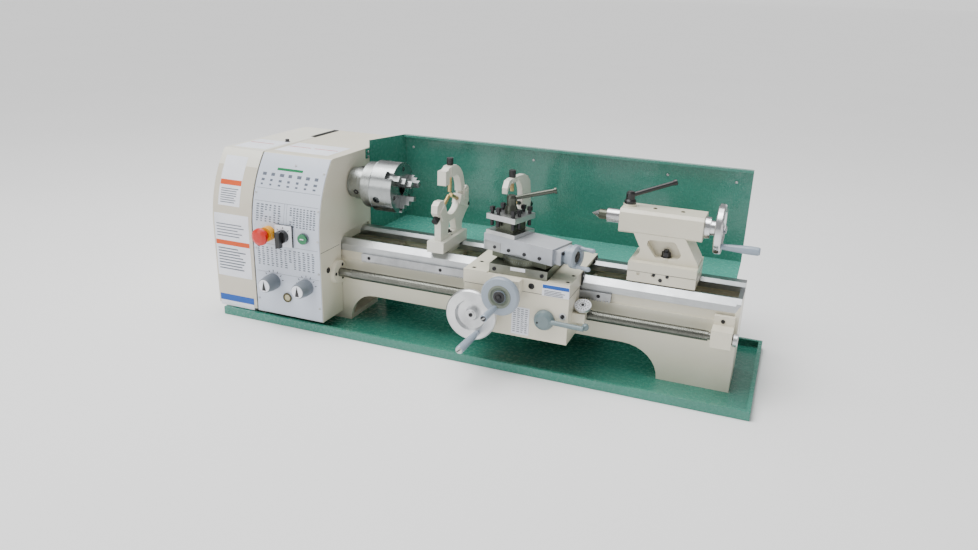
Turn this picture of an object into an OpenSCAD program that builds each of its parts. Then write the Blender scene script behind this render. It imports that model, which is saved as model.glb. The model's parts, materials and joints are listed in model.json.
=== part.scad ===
// Bench metal lathe with chip tray and splash guard.
// +X runs from the headstock to the tailstock, +Y away from the operator, +Z up.
// The origin is on the underside of the chip tray, at its centre.

/* [Tray and splash guard] */
// Length of the chip tray
tray_l = 1306; // [1300:1:1320]
// Width of the chip tray
tray_w = 386; // [380:1:400]
// Height of the tray's rim
tray_h = 20; // [18:1:26]
// Thickness of the folded sheet metal
sheet_t = 2; // [1.5:0.5:2.5]
// Height of the splash guard's top
splash_top = 438; // [425:1:450]

/* [Bed] */
// Height of the ways above the bench
way_z = 219; // [219:1:219]
// Width of the bed over both ways
bed_w = 135; // [135:1:135]
// Centre height above the ways
centre_h = 127; // [127:1:127]

/* [Headstock] */
// Height of the headstock's top
head_top = 420; // [415:1:425]
// Radius of the curved front
front_r = 292; // [292:1:292]
// Diameter of the hole through the spindle
spindle_bore = 26; // [20:1:26]

/* [Chuck] */
// Diameter of the three-jaw chuck
chuck_d = 125; // [125:1:125]
// Distance of each jaw from its middle place, outward
jaw_out = 0; // [-4:1:8]

/* [Carriage] */
// Angle of the top slide to the bed, in degrees
slide_a = -16; // [-20:1:-10]
// Diameter of the carriage handwheel
apron_wheel_d = 118; // [110:1:120]
// Diameter of the cross slide's handwheel
cross_wheel_d = 86; // [80:1:88]

/* [Tailstock] */
// Diameter of the quill
quill_d = 32; // [28:1:32]
// How far the quill stands out of the tailstock
quill_out = 33; // [20:1:40]
// Diameter of the tailstock handwheel
tail_wheel_d = 110; // [100:1:112]

/* [Gears] */
// Module of the change gears
gear_m = 2; // [2:1:2]
// Teeth of the spindle gear
spindle_teeth = 30; // [30:1:30]
// Teeth of the idler gear
idler_teeth = 90; // [90:1:90]
// Teeth of the leadscrew gear
screw_teeth = 32; // [32:1:32]

/* [Hidden] */
$fn = 64;
eps = 0.01;
// running clearances: a shaft in its bore, and a slide on its way
fit = 0.05;
gap = 0.3;
big = 2000;

// the bed and the line of centres
bed_y = -20;
bed_front = bed_y - bed_w / 2;
bed_back = bed_y + bed_w / 2;
bed_x0 = -548;
bed_x1 = 601;
axis_y = bed_y;
axis_z = way_z + centre_h;
ridge_z = way_z - 3;
foot_x0 = -339;
foot_x1 = 443;

// the bench bolts' holes
bolt_x = [-480, 540];
bolt_y = [-60, 20];
bolt_r = 7;

// the headstock, the gearbox under its front and the end cover
head_x0 = -554;
head_x1 = -362;
head_front = -184;
head_back = 234;
deck_z = 225;
seam_z = 203;
head_low = 24;
arc_z = 235;
head_wall = 6;
panel_t = 2;
cover_x0 = -672;
cover_x1 = -556.4;
cover_wall = 3;
hinge_x = -556.2;
hinge_y = 240;
hinge_r = 5;

// the drive inside the headstock and the end cover
motor_y = 150;
motor_z = 115;
motor_r = 62;
belt_x0 = -604;
belt_x1 = -584;
gear_x0 = -578;
gear_x1 = -566;
spindle_pulley_r = 46;
motor_pulley_r = 28;
spindle_r = 25;

// the leadscrew
screw_y = -115;
screw_z = 138;
screw_r = 11;
screw_end_r = 8;
screw_x1 = 545;
bracket_x0 = 551;
bracket_x1 = 594;

// the panel's controls
knob_x = [-500, -405];
knob_z = 112;
stop_x = -505;
switch_x = -460;
start_x = -405;
control_z = 236;
controls = [[stop_x, 11 + gap], [switch_x, 7 + fit], [start_x, 10 + gap]];
sight_x = -461;
sight_z = 75;

// the chuck
plate_x0 = -347;
chuck_x0 = -286;
chuck_x1 = -226;
chuck_key_x = -267;
jaw_a = [141, 261, 21];
jaw_w = 14;

// the carriage
carr_x0 = 10;
carr_x1 = 256;
carr_front = -182;
carr_top = 226;
apron_z0 = 86;
apron_z1 = 195;
wheel_x = 45;
wheel_z = 134;
cross_x = 118;
cross_z = 196;
nut_x = 204;
dial_x = 275;

// the cross slide and the top slide on its swivel
cross_x0 = 68;
cross_x1 = 202;
cross_y0 = -175;
cross_y1 = 25;
cross_top = 245;
pivot_x = 135;
pivot_y = -119;
base_top = 262;
top_slide_z = 299;
post_x = -47;

// the steady rest and the follow rest
steady_x = -99;
follow_x = 60;

// the tailstock
tail_x0 = 354;
tail_x1 = 502;
tail_body_x0 = 322;
tail_wheel_x = 524;

// ---- shared shapes ----

function quarter(cx, cy, rx, ry, a0, a1, n) =
    [for (i = [0:n]) let (a = a0 + (a1 - a0) * i / n) [cx + rx * cos(a), cy + ry * sin(a)]];

// a profile in (Y, Z) drawn out along X
module along_x(x0, x1) {
    translate([x0, 0, 0]) rotate([90, 0, 90]) linear_extrude(x1 - x0) children();
}

// a profile in (X, Z) drawn out along Y
module along_y(y0, y1) {
    translate([0, y1, 0]) rotate([90, 0, 0]) linear_extrude(y1 - y0) children();
}

module block(low, high) {
    translate(low) cube(high - low);
}

module rod_x(x0, x1, y, z, r) {
    translate([x0, y, z]) rotate([0, 90, 0]) cylinder(h = x1 - x0, r = r);
}

module rod_y(y0, y1, x, z, r) {
    translate([x, y1, z]) rotate([90, 0, 0]) cylinder(h = y1 - y0, r = r);
}

module rod_z(z0, z1, x, y, r) {
    translate([x, y, z0]) cylinder(h = z1 - z0, r = r);
}

// a turned piece along -Y, from its profile in (radius, distance towards the operator)
module turned_y(x, y, z) {
    translate([x, y, z]) rotate([90, 0, 0]) rotate_extrude() children();
}

// a turned piece along +X, from its profile in (radius, distance along X)
module turned_x(x, y, z) {
    translate([x, y, z]) rotate([0, 90, 0]) rotate_extrude() children();
}

// the headstock's outline in (Y, Z) with its curved front, moved in by front_in and by a wall
module head_profile(z0, front_in, wall) {
    front = head_front + front_in + wall;
    r = front_r - front_in - wall;
    top = head_top - wall;
    difference() {
        translate([front, z0 + wall]) square([head_back - wall - front, top - z0 - wall]);
        difference() {
            translate([front - 1, arc_z]) square([front_r / 2, top - arc_z + 1]);
            translate([head_front + front_r, arc_z]) circle(r = r);
        }
    }
}

// ---- tray, guard and bed ----

module chip_tray() color("mediumseagreen") difference() {
    lip = 9;
    block([-tray_l / 2, -tray_w / 2, 0], [tray_l / 2, tray_w / 2, tray_h]);
    block([-tray_l / 2 + sheet_t, -tray_w / 2 + sheet_t, sheet_t],
        [tray_l / 2 - sheet_t, tray_w / 2 - sheet_t, tray_h - sheet_t]);
    block([-tray_l / 2 + lip, -tray_w / 2 + lip, sheet_t],
        [tray_l / 2 - lip, tray_w / 2 - lip, tray_h + eps]);
    for (x = bolt_x, y = bolt_y) rod_z(-1, sheet_t + 1, x, y, bolt_r);
}

module backsplash() color("seagreen") {
    x0 = -322;
    x1 = 576;
    leg_y = 62;
    leg_z = 193;
    back_y = 190;
    fold_z = 214;
    flange = 13;
    tab_y = 40;
    ret_y = 60;
    union() {
        along_x(x0, x1) polygon([
            [leg_y, sheet_t], [leg_y + sheet_t, sheet_t], [leg_y + sheet_t, leg_z - sheet_t],
            [back_y + sheet_t, fold_z - sheet_t], [back_y + sheet_t, splash_top],
            [back_y - flange, splash_top], [back_y - flange, splash_top - 3 * sheet_t],
            [back_y - flange + sheet_t, splash_top - 3 * sheet_t],
            [back_y - flange + sheet_t, splash_top - sheet_t],
            [back_y, splash_top - sheet_t], [back_y, fold_z], [leg_y, leg_z]
        ]);
        translate([0, 0, fold_z]) linear_extrude(splash_top - fold_z) polygon([
            [x0, back_y], [x0, back_y + sheet_t], [x0 - sheet_t, back_y + sheet_t],
            [head_x1, ret_y], [head_x1 + sheet_t, ret_y]
        ]);
        block([head_x1, tab_y, splash_top - 44], [head_x1 + sheet_t, ret_y, splash_top - 20]);
        // the shelf's corner beside the headstock
        intersection() {
            along_x(head_x1 + 0.2, x0 + 1) polygon([
                [leg_y, leg_z], [leg_y, leg_z - sheet_t], [back_y + sheet_t, fold_z - sheet_t],
                [back_y + sheet_t, fold_z + 1], [back_y, fold_z]
            ]);
            linear_extrude(splash_top) polygon([
                [x0 + 1, ret_y], [x0 + 1, back_y + sheet_t],
                [x0 - sheet_t, back_y + sheet_t], [head_x1, ret_y]
            ]);
        }
    }
}

// the way's outline in (Y, Z): the ridged front way and the flat back way
front_way = [
    [bed_front, 187], [bed_front, ridge_z - 13.5], [bed_front + 13.5, ridge_z],
    [bed_front + 19.5, ridge_z], [bed_front + 29.5, ridge_z - 10],
    [bed_front + 37.5, ridge_z - 10], [bed_front + 37.5, 192],
    [bed_front + 11.5, 180], [bed_front + 3.5, 180], [bed_front + 3.5, 187]
];
back_way = [
    [bed_back, 187], [bed_back, way_z], [bed_back - 22.5, way_z],
    [bed_back - 35, way_z - 6], [bed_back - 35, 200], [bed_back - 11.5, 187]
];

module bed() color("antiquewhite") difference() {
    web = 11.5;
    low = sheet_t;
    arch_top = 76;
    rib = 8;
    floor_t = 12;
    deck_x1 = head_x1 - 4;
    union() {
        along_x(bed_x0, bed_x1) polygon(front_way);
        along_x(bed_x0, bed_x1) polygon(back_way);
        block([bed_x0, bed_front + 3.5, 165], [bed_x1, bed_front + web, 182]);
        block([bed_x0, bed_front, low], [bed_x1, bed_front + web, 165]);
        block([bed_x0, bed_back - web, low], [bed_x1, bed_back, 190]);
        block([bed_x0, bed_front, 204], [deck_x1, bed_back, deck_z]);
        for (x = [bed_x0, bed_x1 - 10]) block([x, bed_front, low], [x + 10, bed_back, 206]);
        for (x = [-250:170:430]) block([x, bed_front + 5, arch_top + 8], [x + rib, bed_back - 1, 188]);
        block([bed_x0, bed_front, low], [foot_x0, bed_back, low + floor_t]);
        block([foot_x1, bed_front, low], [bed_x1, bed_back, low + floor_t]);
    }
    along_y(bed_front - 5, bed_back + 5) polygon(concat(
        [[foot_x1, low - 1]],
        quarter(foot_x1 - 83, low, 83, arch_top - low, 0, 90, 8),
        quarter(foot_x0 + 64, low, 64, arch_top - low, 90, 180, 8),
        [[foot_x0, low - 1]]
    ));
    for (x = bolt_x, y = bolt_y) rod_z(0, low + floor_t + 1, x, y, bolt_r);
    rod_x(bed_x1 - 11, bed_x1 + 1, bed_y, 40, 6);
}

module rack() color("lightsteelblue") difference() {
    x0 = -301;
    pitch = 3.1416 * gear_m;
    teeth = 100;
    low = 166;
    root = low + 4;
    top = 186.7;
    along_y(bed_front - 8, bed_front + 3.5) polygon(concat(
        [for (i = [0:teeth - 1], p = [0:3])
            [x0 + pitch * (i + [0, 0.28, 0.5, 0.78][p]), [root, low, low, root][p]]],
        [[x0 + pitch * teeth, root], [x0 + pitch * teeth, top], [x0, top]]
    ));
    for (x = rack_screw_x) rod_y(bed_front - 9, bed_front - 3, x, 178, 4.5);
}

rack_screw_x = [for (i = [0:3]) -280 + 193 * i];

// a socket head cap screw whose head sits on y0 and faces the operator
module cap_screw(x, y0, z) {
    head = 4.5;
    translate([x, y0, z]) rotate([90, 0, 0]) difference() {
        cylinder(h = head, r = 4.2);
        translate([0, 0, 2]) cylinder(h = head, r = 2, $fn = 6);
    }
}

module cap_screws() color("black") {
    for (x = rack_screw_x) cap_screw(x, bed_front - 3, 178);
    cap_screw(bracket_x0 + 19, bed_front - 9, 169);
    for (a = [60, 180, 300]) translate([head_x1 + 8, screw_y + 20 * cos(a), screw_z + 20 * sin(a)])
        rotate([0, 0, 90]) cap_screw(0, 0, 0);
}

// ---- headstock ----

module hinge_barrel(z0, z1) {
    rod_z(z0, z1, hinge_x, hinge_y, hinge_r);
}

function idler_place() =
    let (
        p = [axis_y, axis_z], q = [screw_y, screw_z],
        r0 = gear_m * (spindle_teeth + idler_teeth) / 2,
        r1 = gear_m * (screw_teeth + idler_teeth) / 2,
        d = norm(q - p), u = (q - p) / d,
        a = (r0 * r0 - r1 * r1 + d * d) / (2 * d), h = sqrt(r0 * r0 - a * a)
    ) p + a * u + h * [-u[1], u[0]];
idler = idler_place();

module headstock() color("antiquewhite") {
    skirt_y = bed_back + 4.5;
    boss_r = 44;
    boss_l = 34;
    difference() {
        union() {
            difference() {
                union() {
                    along_x(head_x0, head_x1) head_profile(deck_z, panel_t, 0);
                    block([head_x0, skirt_y, head_low], [head_x1, head_back, deck_z + 10]);
                    block([head_x0, head_front + panel_t, seam_z], [head_x1, bed_front - 2, deck_z + 1]);
                }
                along_x(head_x0 + head_wall, head_x1 - head_wall) head_profile(deck_z, panel_t, head_wall);
                block([head_x0 + head_wall, skirt_y + head_wall, head_low + head_wall],
                    [head_x1 - head_wall, head_back - head_wall, deck_z + 12]);
            }
            rod_x(head_x0, head_x0 + boss_l, axis_y, axis_z, boss_r);
            rod_x(head_x1 - boss_l, head_x1, axis_y, axis_z, boss_r);
            rod_x(head_x0 - 6, head_x0 + 2, idler[0], idler[1], 15);
            rod_x(gear_x0 - 3, head_x0, idler[0], idler[1], 8);
            for (z = [90, 360]) {
                hinge_barrel(z + gap, z + 30);
                block([head_x0, head_back - 1, z + gap], [head_x0 + 18, hinge_y, z + 30]);
            }
            // the gland where a mains lead would enter
            rod_y(head_back - 1, head_back + 10, -400, 60, 10);
        }
        rod_x(head_x0 - 1, head_x1 + 1, axis_y, axis_z, spindle_r + fit);
        rod_x(head_x0 - 1, head_x0 + head_wall + 1, motor_y, motor_z, 16);
        rod_y(head_back - 7, head_back + 11, -400, 60, 5);
        for (z = [88, 358]) rod_z(z, z + 34, hinge_x, hinge_y, 2.5 + fit);
        for (c = controls) rod_y(head_front - 1, head_front + 18, c[0], control_z, c[1]);
    }
}

module gearbox_housing() color("antiquewhite") difference() {
    y0 = head_front + panel_t;
    y1 = bed_front - 2;
    block([head_x0, y0, head_low], [head_x1, y1, seam_z]);
    block([head_x0 + head_wall, y0 + head_wall, head_low + head_wall],
        [head_x1 - head_wall, y1 - head_wall, seam_z - head_wall]);
    rod_x(head_x0 - 1, head_x1 + 1, screw_y, screw_z, screw_r + fit);
    for (x = knob_x) rod_y(y0 - 1, y0 + head_wall + 1, x, knob_z, 6 + fit);
    rod_y(y0 - 1, y0 + head_wall + 1, sight_x, sight_z, 8);
    // the plugged oil hole beside the leadscrew
    rod_x(head_x1 - 3, head_x1 + 1, -152, 152, 5);
}

module control_panel() color("aliceblue") difference() {
    edge = 1.5;
    union() {
        along_x(head_x0 + edge, head_x1 - edge) intersection() {
            difference() {
                head_profile(head_low, 0, 0);
                head_profile(head_low, panel_t, 0);
            }
            translate([head_front - 1, head_low + edge]) square([90, head_top - head_low - 2 * edge]);
        }
        // the emergency stop's collar, the start button's ring and the switch's plate
        rod_y(head_front - 18, head_front + 0.5, stop_x, control_z, 18.5);
        rod_y(head_front - 4, head_front + 0.5, start_x, control_z, 14);
        block([switch_x - 24, head_front - 6, control_z - 27],
            [switch_x + 24, head_front + 0.5, control_z + 27]);
    }
    for (x = knob_x) rod_y(head_front - 1, head_front + 4, x, knob_z, 6.5);
    rod_y(head_front - 1, head_front + 4, sight_x, sight_z, 8);
    for (c = controls) rod_y(head_front - 19, head_front + 4, c[0], control_z, c[1]);
}

module end_cover() color("antiquewhite") {
    z0 = head_low + 4;
    union() {
        difference() {
            along_x(cover_x0, cover_x1) head_profile(z0, 0, 0);
            along_x(cover_x0 + cover_wall, cover_x1 + 1) head_profile(z0, 0, cover_wall);
            // the vent slot along the seam on top
            block([cover_x1 - 9, 108, head_top - 10], [cover_x1 + 1, head_back - 6, head_top + 1]);
        }
        for (z = [60, 330]) {
            hinge_barrel(z, z + 30);
            block([hinge_x - 18, head_back - 1, z], [hinge_x - 1, hinge_y, z + 30]);
            rod_z(z + 30, z + 58, hinge_x, hinge_y, 2.5);
        }
    }
}

module motor() color("dimgray") difference() {
    x0 = head_x0 + head_wall + 6;
    x1 = head_x1 - head_wall - 14;
    union() {
        rod_x(x0, x1, motor_y, motor_z, motor_r);
        rod_x(x0 - 5, x0 + 1, motor_y, motor_z, 34);
        block([x0 + 35, motor_y - 45, head_low + head_wall], [x1 - 35, motor_y + 45, motor_z - 40]);
        block([x0 + 40, motor_y - 35, motor_z + 40], [x1 - 40, motor_y + 35, motor_z + motor_r + 22]);
    }
    rod_x(x0 - 6, x0 + 32, motor_y, motor_z, 9.5 + fit);
}

// a grooved belt pulley between the belt's two sides, with its groove's floor at r
module pulley(y, z, r) {
    w = belt_x1 - belt_x0;
    turned_x(belt_x0, y, z) polygon([
        [0, 0], [r + 8, 0], [r + 8, 2], [r, 6], [r, w - 6], [r + 8, w - 2], [r + 8, w], [0, w]
    ]);
}

module motor_pulley() color("silver") union() {
    pulley(motor_y, motor_z, motor_pulley_r);
    rod_x(belt_x0 - 4, head_x0 + head_wall + 36, motor_y, motor_z, 9.5);
}

module belt_outline(extra) {
    hull() {
        translate([axis_y, axis_z]) circle(r = spindle_pulley_r + extra, $fn = 48);
        translate([motor_y, motor_z]) circle(r = motor_pulley_r + extra, $fn = 48);
    }
}

module drive_belt() color("black") {
    along_x(belt_x0 + 7.5, belt_x1 - 7.5) difference() {
        belt_outline(6.5);
        belt_outline(0.8);
    }
}

module spindle() color("gainsboro") difference() {
    union() {
        rod_x(belt_x0 - 8, head_x0 - 2, axis_y, axis_z, 20);
        rod_x(head_x0 - 2, -352, axis_y, axis_z, spindle_r);
        rod_x(-359, plate_x0, axis_y, axis_z, 38);
        rod_x(plate_x0, -312, axis_y, axis_z, 22);
    }
    rod_x(-650, -300, axis_y, axis_z, spindle_bore / 2);
}

// a spur gear's outline with its first tooth at angle 0, thin enough to run free
module gear_outline(teeth) {
    r = gear_m * teeth / 2;
    step = 360 / teeth;
    polygon([for (i = [0:teeth - 1], p = [0:3])
        let (a = step * (i + [-0.3, -0.1, 0.1, 0.3][p]),
            q = p % 3 == 0 ? r - 1.25 * gear_m : r + 0.9 * gear_m)
        [q * cos(a), q * sin(a)]]);
}

module gear(y, z, teeth, phase) {
    translate([0, y, z]) rotate([phase, 0, 0]) along_x(gear_x0, gear_x1) gear_outline(teeth);
}

// each gear's phase, so that neighbours mesh at rest
dir_a = atan2(idler[1] - axis_z, idler[0] - axis_y);
dir_b = atan2(screw_z - idler[1], screw_y - idler[0]);
idler_phase = dir_a + 180 + 180 / idler_teeth;
step_b = 360 / idler_teeth;
turn_b = (dir_b - idler_phase) - step_b * floor((dir_b - idler_phase) / step_b);
screw_phase = dir_b + 180 + turn_b * idler_teeth / screw_teeth + 180 / screw_teeth;

module spindle_pulley() color("silver") difference() {
    union() {
        pulley(axis_y, axis_z, spindle_pulley_r);
        rod_x(belt_x1 - 1, gear_x0 + 1, axis_y, axis_z, 26);
        gear(axis_y, axis_z, spindle_teeth, dir_a);
    }
    rod_x(belt_x0 - 1, gear_x1 + 1, axis_y, axis_z, 20);
}

module idler_gear() color("dimgray") difference() {
    gear(idler[0], idler[1], idler_teeth, idler_phase);
    rod_x(gear_x0 - 1, gear_x1 + 1, idler[0], idler[1], 8 + fit);
    for (a = [0:60:300]) rod_x(gear_x0 - 1, gear_x1 + 1,
        idler[0] + 52 * cos(a), idler[1] + 52 * sin(a), 18);
}

module leadscrew_gear() color("dimgray") difference() {
    gear(screw_y, screw_z, screw_teeth, screw_phase);
    rod_x(gear_x0 - 1, gear_x1 + 1, screw_y, screw_z, 9);
}

// ---- chuck ----

module chuck_backplate() color("silver") difference() {
    union() {
        rod_x(plate_x0, -311, axis_y, axis_z, 40);
        rod_x(-312, chuck_x0, axis_y, axis_z, 57);
    }
    rod_x(plate_x0 - 1, -312, axis_y, axis_z, 22);
    rod_x(-314, chuck_x0 + 1, axis_y, axis_z, 16);
}

// places what is drawn along +Y at a jaw's angle round the spindle
module at_jaw(i) {
    translate([0, axis_y, axis_z]) rotate([jaw_a[i], 0, 0]) children();
}

module chuck_body() color("gainsboro") difference() {
    slot = jaw_w / 2 + gap;
    rod_x(chuck_x0, chuck_x1, axis_y, axis_z, chuck_d / 2);
    rod_x(chuck_x0 - 1, chuck_x1 + 1, axis_y, axis_z, 16);
    for (i = [0:2]) at_jaw(i) {
        block([chuck_x1 - 20, 8, -slot], [chuck_x1 + 1, 70, slot]);
        block([chuck_x1 - 20, 8, -slot - 3], [chuck_x1 - 12, 70, slot + 3]);
    }
    // the key's sockets, between the jaws
    for (i = [0:2]) at_jaw(i) rotate([60, 0, 0]) translate([chuck_key_x, 0, 0]) {
        translate([0, 50, 0]) rotate([-90, 0, 0]) cylinder(h = 20, r = 9);
        block([-5, 38, -5], [5, 51, 5]);
    }
}

// a stepped jaw along +Y, with its foot in the chuck's slot
module jaw(i) color("silver") at_jaw(i) translate([0, jaw_out, 0]) union() {
    h = jaw_w / 2;
    block([chuck_x1 - 20 + gap, 18, -h], [chuck_x1 + 12, 50, h]);
    block([chuck_x1 - 20 + gap, 18, -h - 3], [chuck_x1 - 12 - gap, 50, h + 3]);
    block([chuck_x1 + 11, 18, -h], [chuck_x1 + 24, 40, h]);
    block([chuck_x1 + 23, 18, -h], [chuck_x1 + 36, 29, h]);
}

module chuck_jaw_1() jaw(0);
module chuck_jaw_2() jaw(1);
module chuck_jaw_3() jaw(2);

// ---- leadscrew ----

module leadscrew() color("darkseagreen") difference() {
    union() {
        rod_x(gear_x0 - 4, head_x0 - 4, screw_y, screw_z, 9);
        rod_x(head_x0 - 4, screw_x1, screw_y, screw_z, screw_r);
        rod_x(screw_x1, bracket_x1 + 9, screw_y, screw_z, screw_end_r);
        rod_x(bracket_x1 + gap, bracket_x1 + 7, screw_y, screw_z, 11);
    }
    // the keyway along its top
    block([-345, screw_y - 2, screw_z + screw_r - 3], [screw_x1 - 5, screw_y + 2, screw_z + screw_r + 1]);
}

module leadscrew_flange() color("antiquewhite") difference() {
    rod_x(head_x1, head_x1 + 12, screw_y, screw_z, 29);
    rod_x(head_x1 - 1, head_x1 + 13, screw_y, screw_z, screw_r + gap);
    for (a = [60, 180, 300])
        rod_x(head_x1 + 8, head_x1 + 13, screw_y + 20 * cos(a), screw_z + 20 * sin(a), 4.5);
    // flattened where it meets the bed
    block([head_x1 - 1, bed_front - 0.5, 50], [head_x1 + 13, bed_front + 30, 200]);
}

module leadscrew_bracket() color("antiquewhite") difference() {
    union() {
        block([bracket_x0, bed_front - 12, 122], [bracket_x1, bed_front, 180]);
        block([bracket_x0, screw_y - 22, 122], [bracket_x1, bed_front - 11, 160]);
    }
    rod_x(bracket_x0 - 1, bracket_x1 + 1, screw_y, screw_z, screw_end_r + fit);
    rod_y(bed_front - 13, bed_front - 9, bracket_x0 + 19, 169, 4.5);
}

// ---- carriage ----

module saddle() color("antiquewhite") {
    back = bed_back + 10;
    mid_top = cross_top - 21 - gap;
    under = way_z + 0.4;
    // a wing's section in (Y, Z), which rides on the front ridge and the back way
    wing = [
        [carr_front, apron_z1], [carr_front, carr_top], [back, carr_top], [back, 196],
        [bed_back + 0.5, 196], [bed_back + 0.5, under], [bed_front + 21, under],
        [bed_front + 20, ridge_z + 0.4], [bed_front + 13.3, ridge_z + 0.4],
        [bed_front - 0.5, ridge_z - 13.4], [bed_front - 0.5, apron_z1]
    ];
    mid = [
        [carr_front, apron_z1], [carr_front, mid_top], [back, mid_top], [back, 196],
        [bed_back + 0.5, 196], [bed_back + 0.5, under], [bed_front + 21, under],
        [bed_front + 20, ridge_z + 0.4], [bed_front + 13.3, ridge_z + 0.4],
        [bed_front - 0.5, ridge_z - 13.4], [bed_front - 0.5, apron_z1]
    ];
    difference() {
        union() {
            along_x(carr_x0, cross_x0 - 2) polygon(wing);
            along_x(cross_x1 + 2, carr_x1) polygon(wing);
            along_x(cross_x0 - 3, cross_x1 + 3) polygon(mid);
            block([86, carr_front - 24, apron_z1], [150, carr_front + 1, mid_top]);
            rod_y(carr_front - 24, carr_front, cross_x, cross_z, 15);
        }
        // the cross slide's screw runs in this tunnel
        rod_y(carr_front - 25, -90, cross_x, cross_z, 7 + gap);
        block([cross_x - 9, carr_front + 20, cross_z], [cross_x + 9, bed_front - 4, mid_top + 1]);
        for (x = [29, 246], y = [-165, -120]) rod_z(carr_top - 6, carr_top + 1, x, y, 5);
        rod_y(carr_front - 1, carr_front + 3, 170, 210, 5);
    }
}

module apron() color("antiquewhite") difference() {
    wall = 8;
    back = bed_front - 9;
    block([carr_x0 + 3, carr_front, apron_z0], [carr_x1, back, apron_z1]);
    block([carr_x0 + 3 + wall, carr_front + wall, apron_z0 - 1],
        [carr_x1 - wall, back + 1, apron_z1 - wall]);
    // the leadscrew passes both side walls
    rod_x(carr_x0, carr_x1 + 1, screw_y, screw_z, screw_r + 1);
    rod_y(carr_front - 1, carr_front + wall + 1, wheel_x, wheel_z, 8 + fit);
    rod_y(carr_front - 1, carr_front + wall + 1, nut_x, screw_z, 7 + fit);
    rod_y(carr_front - 1, back + 1, cross_x, cross_z, 7 + gap);
}

// a dished handwheel facing the operator: rim, web and hub
module wheel_y(x, y, z, r, rim, deep) {
    turned_y(x, y, z) polygon([
        [0, 0], [14, 0], [r - rim - 2, deep * 0.3], [r - 2, deep * 0.3],
        [r, deep * 0.45], [r, deep * 0.85], [r - 3, deep], [r - rim, deep],
        [r - rim - 3, deep * 0.55], [16, deep * 0.35], [12, deep * 0.75], [0, deep * 0.75]
    ]);
}

apron_handle_x = wheel_x + 18;
apron_handle_z = wheel_z - 38;

module carriage_handwheel() color("whitesmoke") difference() {
    union() {
        wheel_y(wheel_x, carr_front - 20, wheel_z, apron_wheel_d / 2, 23, 22);
        rod_y(carr_front - 20, carr_front - gap, wheel_x, wheel_z, 17);
        rod_y(carr_front - gap, carr_front + 34, wheel_x, wheel_z, 8);
        rod_y(carr_front + 12, carr_front + 30, wheel_x, wheel_z, 20);
    }
    rod_y(carr_front - 60, carr_front - 32, apron_handle_x, apron_handle_z, 4);
}

// a revolving handle along -Y from y0, on a stud that runs in the wheel's hole
module grip_y(x, y0, z, length, r0, r1, stud) {
    turned_y(x, y0, z) polygon([
        [0, -stud], [4 - fit, -stud], [4 - fit, 0], [r0, 1], [r0 + 1, length * 0.25], [r1, length * 0.75],
        [r1, length - 3], [r1 - 2, length], [0, length]
    ]);
}

module carriage_handle() color("slategray")
    translate([0, -gap, 0]) grip_y(apron_handle_x, carr_front - 42, apron_handle_z, 100, 6.5, 9, 8);

module half_nut_lever() color("slategray") union() {
    hub_y = carr_front - gap;
    rod_y(hub_y, carr_front + 40, nut_x, screw_z, 7);
    turned_y(nut_x, hub_y, screw_z) polygon([
        [0, 0], [23, 0], [23, 6], [20, 13], [14, 17], [0, 18]
    ]);
    translate([nut_x + 10, hub_y - 9, screw_z]) rotate([8, 88, 0]) cylinder(h = 84, r = 5.5);
    translate([nut_x + 94, hub_y - 8.6, screw_z + 3]) sphere(r = 8);
}

module half_nut() color("goldenrod") difference() {
    block([nut_x - 26, screw_y - 20, screw_z - 30], [nut_x + 26, screw_y + 16, screw_z - 3]);
    rod_x(nut_x - 30, nut_x + 30, screw_y, screw_z, screw_r + 4);
}

dial_y = -133;
dial_z = 165;
dial_tilt = 25;

// draws in the thread dial's own frame, tilted towards the operator
module on_dial() {
    translate([dial_x, dial_y, dial_z]) rotate([dial_tilt, 0, 0]) children();
}

module thread_dial_body() color("antiquewhite") difference() {
    union() {
        block([carr_x1, dial_y - 14, screw_z - 10], [dial_x + 9, dial_y + 5, screw_z + 12]);
        on_dial() translate([0, 0, -15]) cylinder(h = 11, r = 12);
    }
    on_dial() translate([0, 0, -14]) cylinder(h = 20, r = 5 + fit);
}

module thread_dial() color("white") on_dial() union() {
    translate([0, 0, gap - 4]) cylinder(h = 6, r = 18.7);
    translate([0, 0, -13.5]) cylinder(h = 12, r = 5);
}

module cross_slide() color("darkgray") difference() {
    block([cross_x0, cross_y0, cross_top - 21], [cross_x1, cross_y1, cross_top]);
    translate([pivot_x, pivot_y, cross_top - 6]) cylinder(h = 7, r = 20 + fit);
}

cross_handle_x = cross_x - 9;
cross_handle_z = cross_z - 26;

module cross_handwheel() color("lightsteelblue") difference() {
    y1 = carr_front - 24 - gap;
    union() {
        rod_y(y1 - 16, y1, cross_x, cross_z, 22);
        turned_y(cross_x, y1 - 16, cross_z) polygon([
            [0, 0], [20, 0], [30, 4], [cross_wheel_d / 2 - 2, 4], [cross_wheel_d / 2, 6],
            [cross_wheel_d / 2, 15], [cross_wheel_d / 2 - 3, 18], [21, 18], [18, 14], [14, 14],
            [14, 19], [0, 19]
        ]);
        rod_y(y1 - 1, -95, cross_x, cross_z, 7);
    }
    rod_y(y1 - 60, y1 - 24, cross_handle_x, cross_handle_z, 4);
}

module cross_handle() color("slategray")
    translate([0, -gap, 0])
    grip_y(cross_handle_x, carr_front - 24 - gap - 34, cross_handle_z, 66, 6, 8, 8);

// draws in the top slide's own frame: +X towards its handwheel, origin on the swivel
module on_swivel() {
    translate([pivot_x, pivot_y, 0]) rotate([0, 0, slide_a]) children();
}

module swivel_base() color("dimgray") on_swivel() union() {
    translate([0, 0, cross_top - 5.8]) cylinder(h = 8, r = 20);
    translate([0, 0, cross_top + gap]) cylinder(h = base_top - cross_top - 1, r = 52);
    block([-70, -34, cross_top + 4], [74, 34, base_top - gap]);
    // the dovetail that the top slide runs on
    along_x(-70, 34)
        polygon([[-18, base_top - 1], [18, base_top - 1], [25, base_top + 14], [-25, base_top + 14]]);
}

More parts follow.
